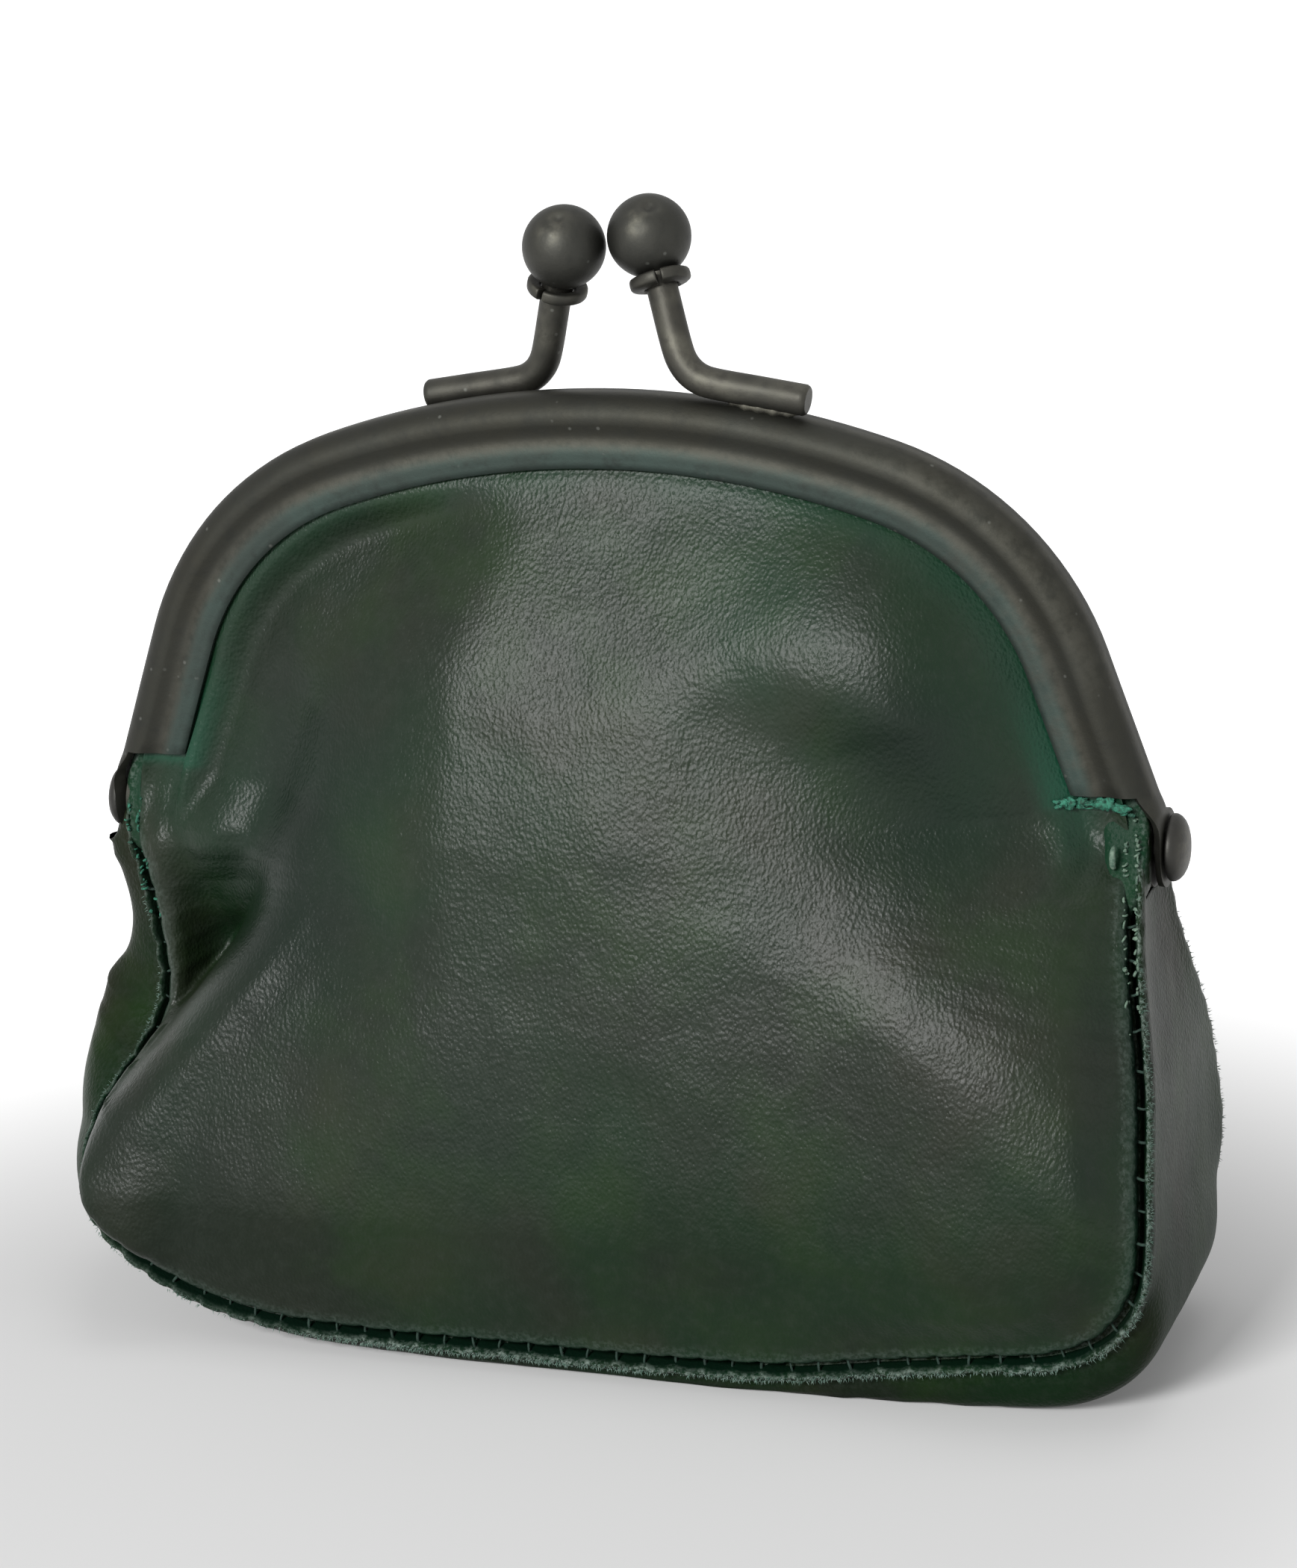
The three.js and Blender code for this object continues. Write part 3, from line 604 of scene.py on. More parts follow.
def ear_reach(rise):
    """How far an ear reaches at a height over the hinge: back past the closing plane, and out."""
    round_part = math.sqrt(max(EAR_RADIUS ** 2 - rise ** 2, 0))
    if rise < 0:
        return -round_part, round_part
    out = lerp(EAR_RADIUS, 3.78, smooth(rise / (FACE_END - HINGE)))
    back = -round_part if rise < EAR_RADIUS else CLOSING
    return min(back, CLOSING), out


def frame_wear_and_highlight(place, inset, x, z):
    """How pale the outer face is painted, as rubbed plating and painted highlight: on its corner,
    past its groove, and up on the right.
    """
    paleness = 0.2 if place in RUBBED_AND_LIT_CORNER else 0.22 * hill(inset - 4.3, 0.6)
    paleness += 0.15 * smooth((x - 24) / 12) * smooth((inset - 4.6) / 0.5)
    paleness += 0.22 * hill(inset - 1.2, 1.1) * smooth((x - 16) / 14) * smooth((z - 56) / 8)
    return paleness


def frame_half(side):
    """One rolled channel over the whole arch, which runs out into its two riveted ears."""
    section, outer_count, ear_last, ear_first = channel_section()
    count = len(section)
    strip = [*range(ear_last + 1), *range(ear_first, count - 3), count - 1]
    points, faces, across, wear_and_highlight = [], [], [], []

    def add(x, depth, z, inset, paleness):
        points.append(side.put((x, -depth, z)))
        across.append(inset / FACE_WIDTH)
        wear_and_highlight.append(paleness)
        return len(points) - 1

    def channel_row(turn, share):
        row = []
        for place, (inset, depth) in enumerate(section):
            run = share * leg_run_to(FACE_END, inset + side.inside)
            x, z = arch_point(turn, inset + side.inside, run)
            ripple, paleness = 0, 0.0
            if place < outer_count:
                ripple = 0.05 * pebble(x, depth, z, 7)
                paleness = frame_wear_and_highlight(place, inset, x, z)
            row.append(add(x, depth + ripple, z, inset, paleness))
        return row

    def ear_row(x_sign, rise):
        back, out = ear_reach(rise)
        flat = smooth((FACE_END - HINGE - rise) / 3.4)
        low, high = section[0][1], section[ear_last][1]
        row = []
        for place in strip:
            inset, depth = section[place]
            share = clamp((depth - low) / (high - low))
            leg = ARCH_HALF - rise * math.tan(FLARE) - (side.inside + inset) / math.cos(FLARE)
            plane = EAR_PLANE - side.inside - (0 if place <= ear_last else SHEET)
            row.append(add(x_sign * lerp(leg, plane, flat), lerp(back, out, share), HINGE + rise,
                           0.6, 0.1))
        return row

    def bridge(first, second):
        for place in range(len(first)):
            beside = (place + 1) % len(first)
            faces.append((first[place], first[beside], second[beside], second[place]))

    turns = arch_turns(16, 18)
    leg_steps = 9
    stations = [(turns[0], 1 - step / leg_steps) for step in range(leg_steps)]
    stations += [(turn, 0) for turn in turns]
    stations += [(turns[-1], (step + 1) / leg_steps) for step in range(leg_steps)]
    rows = [channel_row(turn, share) for turn, share in stations]
    for first, second in zip(rows, rows[1:]):
        bridge(first, second)
    for x_sign, face_row in ((-1, rows[0]), (1, rows[-1])):
        joined = [face_row[place] for place in strip]
        faces.append(tuple(face_row[ear_last:ear_first + 1]))
        faces.append(tuple(face_row[count - 4:count]))
        for rise in EAR_RISES:
            lower = ear_row(x_sign, rise)
            bridge(joined, lower)
            joined = lower
        faces.append(tuple(joined))
    piece = make_piece(side.prefix + "_frame_shell", points, faces, FRAME_METAL,
                       {"across": across, "wear_and_highlight": wear_and_highlight})
    polished(piece, 0.1)
    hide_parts(side.prefix + "_frame")
    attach(piece, side.body)


# Ball clasp

def rim_height(x, inside):
    return TOP_CENTRE + math.sqrt((TOP_RADIUS - inside) ** 2 - x * x)


def clasp_places(side):
    """The ball's middle, the near and far ends of the wire's foot, its knee and its way up."""
    def foot_at(reach):
        x = reach + side.shift
        return Vector((x, -2.4, rim_height(x, side.inside) + ROD_RADIUS + 0.3))
    ball = Vector((BALL_SPREAD / 2 + side.shift, 0.6, ARCH_TOP + side.ball_rise))
    knee, far = (foot_at(reach) for reach in FOOT_REACH)
    near = knee + (far - knee).normalized() * 2.6
    return ball, near, far, knee, (ball - knee).normalized()


def clasp_wire(side):
    """The bent wire, and the bead of solder under its foot."""
    ball, near, far, knee, rise = clasp_places(side)
    start = knee + rise * 2.8
    bend = [near.lerp(knee, t).lerp(knee.lerp(start, t), t) for t in (0, 0.2, 0.4, 0.6, 0.8, 1)]
    spots = [far, far.lerp(near, 0.5), *bend, start.lerp(ball, 0.5), ball - rise * 2.2]
    points, faces = tube(spots, 64, ROD_RADIUS, 28, ends=0.13)
    wear_and_highlight = [0.5 * smooth(pebble(*point, 2.5) + 0.35) for point in points]
    wire = make_piece(side.prefix + "_clasp_wire", [side.put(point) for point in points], faces,
                      WIRE_METAL, {"wear_and_highlight": wear_and_highlight, "across": [0.0] * len(points)})
    polished(wire, 0.14, 3)
    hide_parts(side.prefix + "_clasp_rod")
    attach(wire, side.body)

    def bead_radius(share):
        return (0.62 * math.sin(math.pi * clamp(share, 0.03, 0.97)) ** 0.35
                + 0.09 * math.sin(share * 31))

    along = (far - near).normalized()
    low = Vector((0, 0, -1.25))
    bead = [near + along * 1.2 + low, near.lerp(far, 0.5) + low, far - along * 0.9 + low]
    points, faces = tube(bead, 24, bead_radius, 12)
    solder = make_piece(side.prefix + "_solder", [side.put(point) for point in points], faces,
                        WIRE_METAL,
                        {"wear_and_highlight": [0.9] * len(points), "across": [0.5] * len(points)})
    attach(solder, side.body)


def split_ring(side):
    """The collar under the ball: a ring of square wire, split at the back."""
    ball, _, _, _, rise = clasp_places(side)
    hole = ROD_RADIUS + 0.12
    mouth = math.sqrt(BALL_RADIUS ** 2 - (ROD_RADIUS + 0.2) ** 2)
    corners = 16
    section = []
    for step in range(corners):
        square = squared(2 * math.pi * step / corners, 0.6)
        radius = (hole + COLLAR_RADIUS) / 2 + (COLLAR_RADIUS - hole) / 2 * square[0]
        height = -mouth - 0.85 + 0.55 * square[1] + 0.22 * smooth((radius - hole) / 1.1)
        section.append((radius, height))
    ahead = Vector((0, side.face, 0))
    ahead = (ahead - rise * ahead.dot(rise)).normalized()
    other = rise.cross(ahead)
    slit = math.radians(11)
    lean = math.radians(20 if side is FRONT else -14)
    steps = 72
    points = []
    for step in range(steps + 1):
        turn = lerp(lean + slit / 2, lean + 2 * math.pi - slit / 2, step / steps)
        out = ahead * math.cos(turn) + other * math.sin(turn)
        wave = 0.05 * pebble(math.cos(turn), math.sin(turn), side.shift, 0.6)
        points += [ball + out * (radius + wave) + rise * (height + wave)
                   for radius, height in section]
    faces = skin(0, steps + 1, corners, close_columns=True)
    faces += [tuple(range(corners)), tuple(range(steps * corners, (steps + 1) * corners))]
    wear_and_highlight = [0.6 * smooth(pebble(*point, 1.4) + 0.2) for point in points]
    ring = make_piece(side.prefix + "_clasp_ring", [side.put(point) for point in points], faces,
                      WIRE_METAL, {"wear_and_highlight": wear_and_highlight, "across": [0.3] * len(points)})
    polished(ring, 0.08)
    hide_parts(side.prefix + "_clasp_collar")
    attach(ring, side.body)


def seen_way(right, up, back):
    """A direction given as the photograph shows it: to its right, up, and towards its viewer."""
    return VIEW_RIGHT * right + VIEW_UP * up + VIEW_BACK * back


def clasp_ball(side):
    """The ball, with a shallow dimple at its end, painted paler towards the viewer's left as a
    highlight and round its end.
    """
    dimple = 0.42
    rows = 46
    profile = [(0, -BALL_RADIUS)]
    for step in range(1, rows):
        turn = math.pi * step / rows
        radius, height = BALL_RADIUS * math.sin(turn), -BALL_RADIUS * math.cos(turn)
        if turn > math.pi / 2:
            height -= dimple * hill(radius, 0.62)
        profile.append((radius, height))
    profile.append((0, BALL_RADIUS - dimple))
    top = seen_way(-0.03, 0.6, 0.8) if side is FRONT else seen_way(-0.15, 0.56, 0.81)
    # Painted highlight: the plating is painted paler where the ball faces the viewer's left, and
    # round its end
    shine = seen_way(-0.35, 0.2, 0.9).normalized()
    middle = Vector(side.put(clasp_places(side)[0]))
    points, faces = spun(profile, middle, top, 64)
    points = [middle + (point - middle) * (1 + 0.006 * pebble(*point, 2.6)) for point in points]
    wear_and_highlight = []
    for point in points:
        face = (point - middle).normalized()
        paleness = hill((face - shine).length, 0.3) + 0.5 * hill((face - top).length, 0.32)
        wear_and_highlight.append(clamp(0.7 * paleness * smooth(pebble(*point, 0.9) + 0.6)))
    sphere = make_piece(side.prefix + "_ball", points, faces, BALL_METAL,
                        {"wear_and_highlight": wear_and_highlight, "across": [0.4] * len(points)})
    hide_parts(side.prefix + "_clasp_ball")
    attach(sphere, side.body)


def clasp(side):
    """All of one half's clasp, from the wire up to the ball."""
    clasp_wire(side)
    split_ring(side)
    clasp_ball(side)


def rivet(name, x_sign):
    """A domed rivet through both ears of one side, with its tail spread inside."""
    tail = -(2 * SHEET + 0.3) - 0.25
    profile = [(0, tail - 0.7), (1.7, tail - 0.7), (2.0, tail - 0.55), (2.1, tail - 0.3),
               (2.05, tail), (1.3, tail), (1.3, 0.22), (2.75, 0.22), (2.88, 0.32), (2.9, 0.5),
               (2.86, 0.72), (2.7, 1.0), (2.4, 1.28), (1.95, 1.52), (1.4, 1.7), (0.8, 1.82),
               (0.3, 1.86), (0, 1.87)]
    points, faces = spun(profile, (x_sign * EAR_PLANE, 0, HINGE), (x_sign, 0, 0), 56,
                         lambda turn, rise: 0.05 * math.sin(3 * turn + 1) if rise > 0 else 0)
    wear_and_highlight = [0.55 * smooth(abs(point[0]) - EAR_PLANE - 0.9) for point in points]
    piece = make_piece(name + "_head", points, faces, RIVET_METAL,
                       {"wear_and_highlight": wear_and_highlight, "across": [0.5] * len(points)})
    polished(piece, 0.06)
    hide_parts(name)
    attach(piece, "pouch")


def packing_cord(side):
    """The twisted paper cord that wedges the leather in the channel."""
    inset = side.inside + SHEET + 0.2 + 0.85
    depth = -(CLOSING + SHEET + LEATHER_FACE - LEATHER) / 2
    run = leg_run_to(FACE_END + 0.85, inset)
    turns = arch_turns(8, 7)
    spots = [arch_point(turns[0], inset, run), *(arch_point(turn, inset) for turn in turns),
             arch_point(turns[-1], inset, run)]
    points, faces = tube([(x, depth, z) for x, z in spots], 420, CORD_RADIUS, 9, lobes=3,
                         twist=230, lobe_depth=0.14)
    piece = make_piece(side.prefix + "_cord_strand", [side.put(point) for point in points], faces,
                       PAPER)
    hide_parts(side.prefix + "_paper_cord")
    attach(piece, side.body)


# Pouch: the seam's outline from its right top round the base, in shares of POUCH_HALF and HINGE

SEAM_SHARES = [
    (0.933, 1.033), (0.939, 0.948), (0.949, 0.826), (0.966, 0.728), (0.986, 0.609), (0.996, 0.478),
    (1, 0.37), (0.986, 0.272), (0.937, 0.193), (0.852, 0.148), (0.71, 0.126), (0.548, 0.102),
    (0.365, 0.074), (0.122, 0.065), (-0.162, 0.065), (-0.406, 0.065), (-0.609, 0.08),
    (-0.771, 0.126), (-0.884, 0.2), (-0.953, 0.289), (-0.974, 0.391), (-0.941, 0.478),
    (-0.903, 0.565), (-0.89, 0.652), (-0.899, 0.761), (-0.919, 0.88), (-0.938, 0.967),
    (-0.931, 1.043),
]

# How far the gusset swells out at its sides: (share of HINGE, share of SIDE_SWELL)
RIGHT_SWELL = [(0.3, 0.05), (0.6, 0.13), (0.9, 0.075)]
LEFT_SWELL = [(0.3, 0.57), (0.43, 0.8), (0.59, 1), (0.78, 0.5), (0.9, 0.57)]
SIDE_SWELL = 8.7
MIDDLE = Vector((0, HINGE))


def seam_depth(side, x, z):
    """How far out the seam lies: little under the ears, all of its depth along the base."""
    top, foot = (51, 15) if x > 0 else (30, 10)
    released = lerp(LEATHER_FACE, SEAM_RELEASE, smooth((FACE_END - z) / (FACE_END - GUSSET_TOP)))
    on_side = lerp(released, side.seam, smooth((top - z) / (top - foot)))
    towards_middle = smooth((abs(x) - ARCH_HALF / 2) / (ARCH_HALF / 2))
    return lerp(side.seam if z < HINGE / 2 else released, on_side, towards_middle)


def seam_line(count):
    """Even spots (x, z) along the seam from the right leg round the base, each with its way out."""
    end = arch_point(LEG_TURN, LEATHER_INSET, leg_run_to(FACE_END, LEATHER_INSET))
    middle = [(x * POUCH_HALF, 0, z * HINGE) for x, z in SEAM_SHARES]
    run = even_run([(end[0], 0, end[1]), *middle, (-end[0], 0, end[1])], count)
    line = []
    for place, (spot, _) in enumerate(run):
        before, after = run[max(place - 2, 0)][0], run[min(place + 2, count)][0]
        way = (after - before).normalized()
        line.append((spot.x, spot.z, Vector((-way.z, way.x))))
    return line


SEAM = seam_line(480)
SEAM_PITCH = (Vector(SEAM[1][:2]) - Vector(SEAM[0][:2])).length


def seam_stations(side):
    """Each seam spot with its way out, depth and steepness, on one side of the pouch."""
    depths = [seam_depth(side, x, z) for x, z, _ in SEAM]
    stations = []
    reach = 6
    for place, (x, z, out) in enumerate(SEAM):
        ahead, behind = min(place + reach, len(SEAM) - 1), max(place - reach, 0)
        slope = abs(depths[ahead] - depths[behind]) / ((ahead - behind) * SEAM_PITCH)
        stations.append((x, z, out, depths[place], math.hypot(1, slope)))
    return stations


for half in SIDES:
    half.stations = seam_stations(half)


def seam_place(x_sign, z):
    """Number of the seam spot at a height on the right or the left side."""
    spots = [place for place, spot in enumerate(SEAM) if spot[0] * x_sign > 24]
    return min(spots, key=lambda place: abs(SEAM[place][1] - z))


def pinch(place):
    """1 where a stitch pulls the seam in, 0 between the stitches."""
    run = place * SEAM_PITCH / STITCH_PITCH
    return hill((run - round(run)) * STITCH_PITCH, 0.42)


def base_depth(side, spot_depth, flat, x, z, distance):
    """Depth of a panel at a spot, so far in from an edge of that depth."""
    fall = clamp((z - 14) / (ARCH_TOP - 14))
    belly = lerp(side.belly, 6, fall)
    reach = lerp(22, 11, smooth((z - 46) / 20) * smooth((-side.face * x - 4) / 24))
    swell = 1 - (1 - clamp((distance - flat) / reach)) ** 2
    return lerp(spot_depth, belly, swell), swell, belly


# Crest of the big fold at the left, from the frame down to the base
FOLD = [(-23.6, 66), (-23.8, 61), (-24.8, 56), (-26, 51.6), (-27, 47.8), (-28.4, 44.3),
        (-30.7, 39.9), (-32.7, 36.8), (-36, 32.6), (-39.2, 28.5), (-42.3, 24.5), (-44.9, 20.6),
        (-46.4, 14.5), (-46.6, 8)]


def from_fold(x, z):
    """How far a spot is from the fold's crest, over 0 to the belly, and the way to the hollow."""
    best = (1e9, 0.0, Vector((-1, 0)))
    spot = Vector((x, z))
    for a, b in zip(FOLD, FOLD[1:]):
        a, way = Vector(a), Vector(b) - Vector(a)
        share = clamp((spot - a).dot(way) / way.length_squared)
        off = spot - (a + way * share)
        if off.length < best[0]:
            across = math.copysign(off.length, way.x * off.y - way.y * off.x)
            best = (off.length, across, Vector((way.y, -way.x)).normalized())
    return best[1], best[2]


def long_valley(x, z):
    """The broad valley up across the front from the right ear: steep above, gentle below."""
    start, way = Vector((-6, 66.5)), Vector((54, -25.5))
    spot = Vector((x, z)) - start
    run = spot.dot(way.normalized())
    aside = (way.x * spot.y - way.y * spot.x) / way.length
    above = 7 + 1.5 * smooth((run - 20) / 12)
    below = 19 - 3 * smooth((run - 18) / 20)
    share = 1 - (aside / above if aside > 0 else -aside / below)
    return smooth(share) * smooth((run - 12) / 26) * smooth((way.length - 1 - run) / 13)


def crease(x, z, start, end, width, fade=12):
    """A soft valley along a line: 1 in its middle, with both ends running out."""
    spot, a, way = Vector((x, z)), Vector(start), Vector(end) - Vector(start)
    run = (spot - a).dot(way.normalized())
    aside = (way.x * (spot - a).y - way.y * (spot - a).x) / way.length
    return hill(aside, width) * smooth(run / fade) * smooth((way.length - run) / fade)


def front_surface(depth0, flat, x, z, distance):
    """Depth of the front panel and its sideways push: the big fold, its hollow and the waves."""
    depth, swell, belly = base_depth(FRONT, depth0, flat, x, z, distance)

    # The big fold at the left: its crest stands over a hollow that lies open to the seam
    across, hollow_way = from_fold(x, z)
    left = smooth((-x - 12) / 8)
    folded = smooth((43.5 - z) / 12) * smooth((z - 3) / 6) * left
    wall = (1 - (1 - clamp((across + 2.2) / 7.0)) ** 2) * smooth((distance + 0.2) / 2.2)
    near = folded * smooth((9 - across) / 5)
    ridge = depth0 + 0.35 * hill(distance - 1.8, 1.5)
    pit = ridge - 2.9 * smooth((distance - 1.3) / 2.4) * smooth((z - 19) / 6) * smooth((41 - z) / 8)
    depth = lerp(depth, lerp(pit, max(belly, depth), wall), near)
    push = 1.4 * folded * hill(across - 1.5, 3.0) * smooth(distance / 1.4)

    # Its run-out up to the frame, and the knob of leather beside the left ear
    upper = smooth((63 - z) / 10) * smooth((z - 35) / 6)
    depth -= 2.2 * upper * hill(across + 4.2, 3.4)
    depth += 1.2 * hill(math.hypot(x + 41.5, (z - 49.5) * 0.9), 5.2) * smooth(distance / 4)

    # The long valley, the full belly below it, and the left side, which turns away
    relief = -2.7 * long_valley(x, z)
    forward = smooth((62 - z) / 16) * smooth((z - 6) / 26) * smooth((x + 36) / 20)
    relief += lerp(1.2, 0.6, smooth((x - 8) / 20)) * forward
    turned_left = -x - 11 + 6 * smooth((z - 60) / 16) + 2 * pebble(0, 7, z, 13)
    relief -= 3.0 * smooth(turned_left / 15) * smooth((z - 6) / 40) * smooth((86 - z) / 14)

    # The roll along the right seam, and small unevenness everywhere
    relief += 0.9 * smooth(distance / 5) * smooth((x - 20) / 15) * smooth((46 - z) / 8)
    relief += 0.22 * pebble(x, 3, z, 12) + 0.07 * pebble(x, 9, z, 5) + 0.03 * pebble(x, 2, z, 2.2)
    return depth + relief * smooth(swell * 3), hollow_way * push


def back_surface(depth0, flat, x, z, distance):
    """Depth of the back panel, with its own plainer creases."""
    depth, swell, _ = base_depth(BACK, depth0, flat, x, z, distance)
    relief = 0.8 * pebble(x, 30, z, 23) + 0.25 * pebble(x, 33, z, 10) + 0.06 * pebble(x, 39, z, 4)
    relief -= 2.0 * crease(x, z, (-20, 62), (-42, 34), 4.5)
    relief -= 1.5 * crease(x, z, (24, 64), (40, 36), 4.5)
    relief += 0.8 * crease(x, z, (-30, 40), (30, 30), 9)
    return depth + relief * smooth(swell * 3), Vector((0, 0))


FRONT.surface, BACK.surface = front_surface, back_surface


# The panel's rings of points: turned in under the edge, close by it, and then in even shares to
# the middle. The inner face starts at the ring that lies INNER_START in from the edge.
TUCKS = [1.5, 0.7]
EDGE_RINGS = [0, 0.12, 0.3, 0.52, 0.8, 1.15, 1.6, 2.2, 3.0, 4.0]
SHARE_RINGS = 62
INNER_START = 1.6
PANEL_ROLL = 1.1

# Spots of the front, darker as painted shade and greener as dye: where across and up, how wide, how
# strong
PAINTED_SHADE_SPOTS = [(-28, 37, 8, 0.65), (-26, 53, 8, 0.5), (-40, 20, 9, 0.45), (29, 54, 6, 0.9)]
DYED_SPOTS = [(-20, 50, 7, 0.07), (15, 66, 6, 0.16), (34, 55, 6, 0.14), (-34, 48, 6, 0.1),
              (-8, 22, 9, 0.07)]


def panel_edge(side):
    """The panel's outline, along the seam and round the frame.

    Each spot has its way out, depth, flat margin, and how free it is of the frame.
    """
    edge = []
    for place, (x, z, out, depth, _) in enumerate(side.stations):
        near = smooth((z - GUSSET_TOP) / (FACE_END - GUSSET_TOP))
        x -= math.copysign(side.inside * near, x)
        free = 1 - smooth((z - 42) / 8)
        spot = Vector((x, z)) - out * 0.14 * pinch(place) * free
        edge.append((spot.x, spot.y, out, depth, lerp(SEAM_FLAT, FRAME_MARGIN, near), free))
    for turn in arch_turns(26, 24):
        x, z = arch_point(turn, LEATHER_INSET + side.inside)
        edge.append((x, z, Vector((0, 0)), LEATHER_FACE, FRAME_MARGIN, 0))
    return edge


def panel_place(side, spot, distance):
    """Where the outer face lies, so far in from a spot of the edge, and how deep it is there."""
    x0, z0, _, depth0, flat, free = spot
    ray = Vector((x0, z0)) - MIDDLE
    here = MIDDLE + ray * (1 - distance / ray.length)
    depth, push = side.surface(depth0, flat, here.x, here.y, distance)
    if free < 1:
        drop = face_drop(clamp(LEATHER_INSET + distance, ROLL_RADIUS, FACE_WIDTH))
        lid = HALF_DEPTH - SHEET - 0.06 - drop + 9 * clamp((distance - 3.9) / 1.6, 0, 3) ** 1.5
        depth = lerp(min(depth, lid), depth, free)
    if distance < PANEL_ROLL:
        round_part = math.sqrt(max(1 - (1 - distance / PANEL_ROLL) ** 2, 0))
        depth -= free * PANEL_ROLL * (1 - round_part)
    return here + push, depth


def dye_and_shade_strength(here, spots, height):
    """How strong a list of spots is at a place, for green dye patches and painted shade alike.
    height is how flat they lie.
    """
    return sum(share * hill(math.hypot(here.x - x, (here.y - z) * height), wide)
               for x, z, wide, share in spots)


def panel_paint(side, spot, here, distance):
    """How green and how rubbed the leather is, and how much painted shade it gets, so far in from a
    spot of the edge.
    """
    x0, _, out, _, _, free = spot
    framed = (1 - free) * hill(distance - FRAME_MARGIN, 1.9)
    framed *= lerp(0.45, 1.0, smooth((x0 - 10) / 30)) if side.folded else 0.6
    green = 0.36 * framed + 0.3 * free * hill(distance, 0.7)
    paleness = 0.12 * free * hill(distance - 0.7, 0.6)
    # Painted shade along the panel's very edge, where it turns into the seam's groove
    dark = free * smooth((0.35 - distance) / 0.35) * lerp(0.55, 0.85, smooth(-out.y))
    if side.folded:
        green += dye_and_shade_strength(here, DYED_SPOTS, 0.7)
        # Painted shade in and above the fold's hollow, low on the left, and on the long valley's
        # dark flank
        dark += dye_and_shade_strength(here, PAINTED_SHADE_SPOTS, 0.8)
        # Painted shade in a strip beside the right seam
        by_seam = smooth((here.y - 16) / 8) * smooth((50 - here.y) / 5)
        dark += 0.45 * smooth((here.x - 42.5) / 3) * by_seam
    green += 0.55 * hill(here.y - 50.7, 0.6) * smooth((abs(here.x) - 38) / 2)
    return clamp(green), paleness, clamp(dark)


def leather_panel(side):
    """One panel in one piece: clamped in the frame, turned in along the seam."""
    edge = panel_edge(side)
    columns = len(edge)
    points, tint, wear_and_highlight, painted_shade = [], [], [], []

    def add(x, depth, z, green=0.0, paleness=0.0, dark=0.0):
        points.append((x, side.face * depth, z))
        tint.append(green)
        wear_and_highlight.append(paleness)
        painted_shade.append(dark)

    for tuck in TUCKS:
        for spot in edge:
            out, free = spot[2], spot[5]
            here, depth = panel_place(side, spot, 0)
            here = here - out * tuck * 0.8 * free
            # The tucked-in edge is painted dark as shade inside the seam's groove
            add(here.x, depth - lerp(0.02, tuck * 0.45, free), here.y, dark=0.9 * free)
    rings = [(distance, 0) for distance in EDGE_RINGS]
    rings += [(EDGE_RINGS[-1], step / SHARE_RINGS) for step in range(1, SHARE_RINGS)]
    for start, share in rings:
        for spot in edge:
            reach = (Vector(spot[:2]) - MIDDLE).length
            distance = lerp(start, reach, share)
            here, depth = panel_place(side, spot, distance)
            add(here.x, depth, here.y, *panel_paint(side, spot, here, distance))
    rows = len(TUCKS) + len(rings)
    pole = len(points)
    add(0, side.surface(10, 1, 0, HINGE, 40)[0], HINGE)
    faces = skin(0, rows, columns, close_columns=True)
    last = (rows - 1) * columns
    faces += [(pole, last + step, last + (step + 1) % columns) for step in range(columns)]

    outer = [Vector(point) for point in points]
    start = len(points)
    first_row = len(TUCKS) + EDGE_RINGS.index(INNER_START)
    for row in range(first_row, rows):
        for column in range(columns):
            behind = outer[(row - 1) * columns + column]
            ahead = outer[min(row + 1, rows - 1) * columns + column]
            left = outer[row * columns + (column - 2) % columns]
            right = outer[row * columns + (column + 2) % columns]
            normal = (ahead - behind).cross(right - left)
            if normal.y * side.face < 0:
                normal.negate()
            points.append(outer[row * columns + column] - normal.normalized() * LEATHER)
    inner_rows = rows - first_row
    inner_pole = len(points)
    points.append((0, points[pole][1] - side.face * LEATHER, HINGE))
    faces += skin(start, inner_rows, columns, close_columns=True)
    last = start + (inner_rows - 1) * columns
    faces += [(inner_pole, last + step, last + (step + 1) % columns) for step in range(columns)]
    for step in range(columns):
        after = (step + 1) % columns
        faces.append((step, after, start + after, start + step))
    inner_count = len(points) - start
    piece = make_piece(side.prefix + "_leather", points, faces, PANEL_LEATHER,
                       {"tint": tint + [0.0] * inner_count, "wear_and_highlight": wear_and_highlight + [0.35] * inner_count,
                        "painted_shade": painted_shade + [0.0] * inner_count})
    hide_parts(side.prefix + "_panel", side.prefix + "_panel_bend",
                side.prefix + "_panel_top")
    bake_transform(piece)


# Gusset

def gusset_swell(x, z, down):
    """How far the strip stands out past the seam: by its height at the sides, less below."""
    spots = RIGHT_SWELL if x > 0 else LEFT_SWELL
    height = z / HINGE
    share = spots[0][1]
    for low, high in zip(spots, spots[1:]):
        if height > low[0]:
            share = lerp(low[1], high[1], smooth((height - low[0]) / (high[0] - low[0])))
    below = lerp(2.6, 6.5, smooth((x / POUCH_HALF + 1) / 2))
    return lerp(SIDE_SWELL * share, below, down)


# The lip along each seam, from inside the groove: out past the seam, back from the panel's face,
# and how green and how rubbed it is there
LIP = [(-0.9, 2.9, 0, 0), (-0.35, 2.8, 0, 0), (0.2, 2.5, 0.1, 0), (0.6, 1.75, 0.15, 0),
       (0.86, 1.05, 0.2, 0), (1.08, 0.65, 0.2, 0.35), (1.3, 0.52, 0.15, 1), (1.5, 0.62, 0.08, 1),
       (1.66, 0.9, 0.04, 0.6), (1.76, 1.3, 0, 0.12), (1.8, 1.8, 0, 0.02)]


def lip_size(down):
    """How much of its full width the lip has: it is narrow at the sides, wide along the base."""
    return lerp(0.68, 1.0, down)


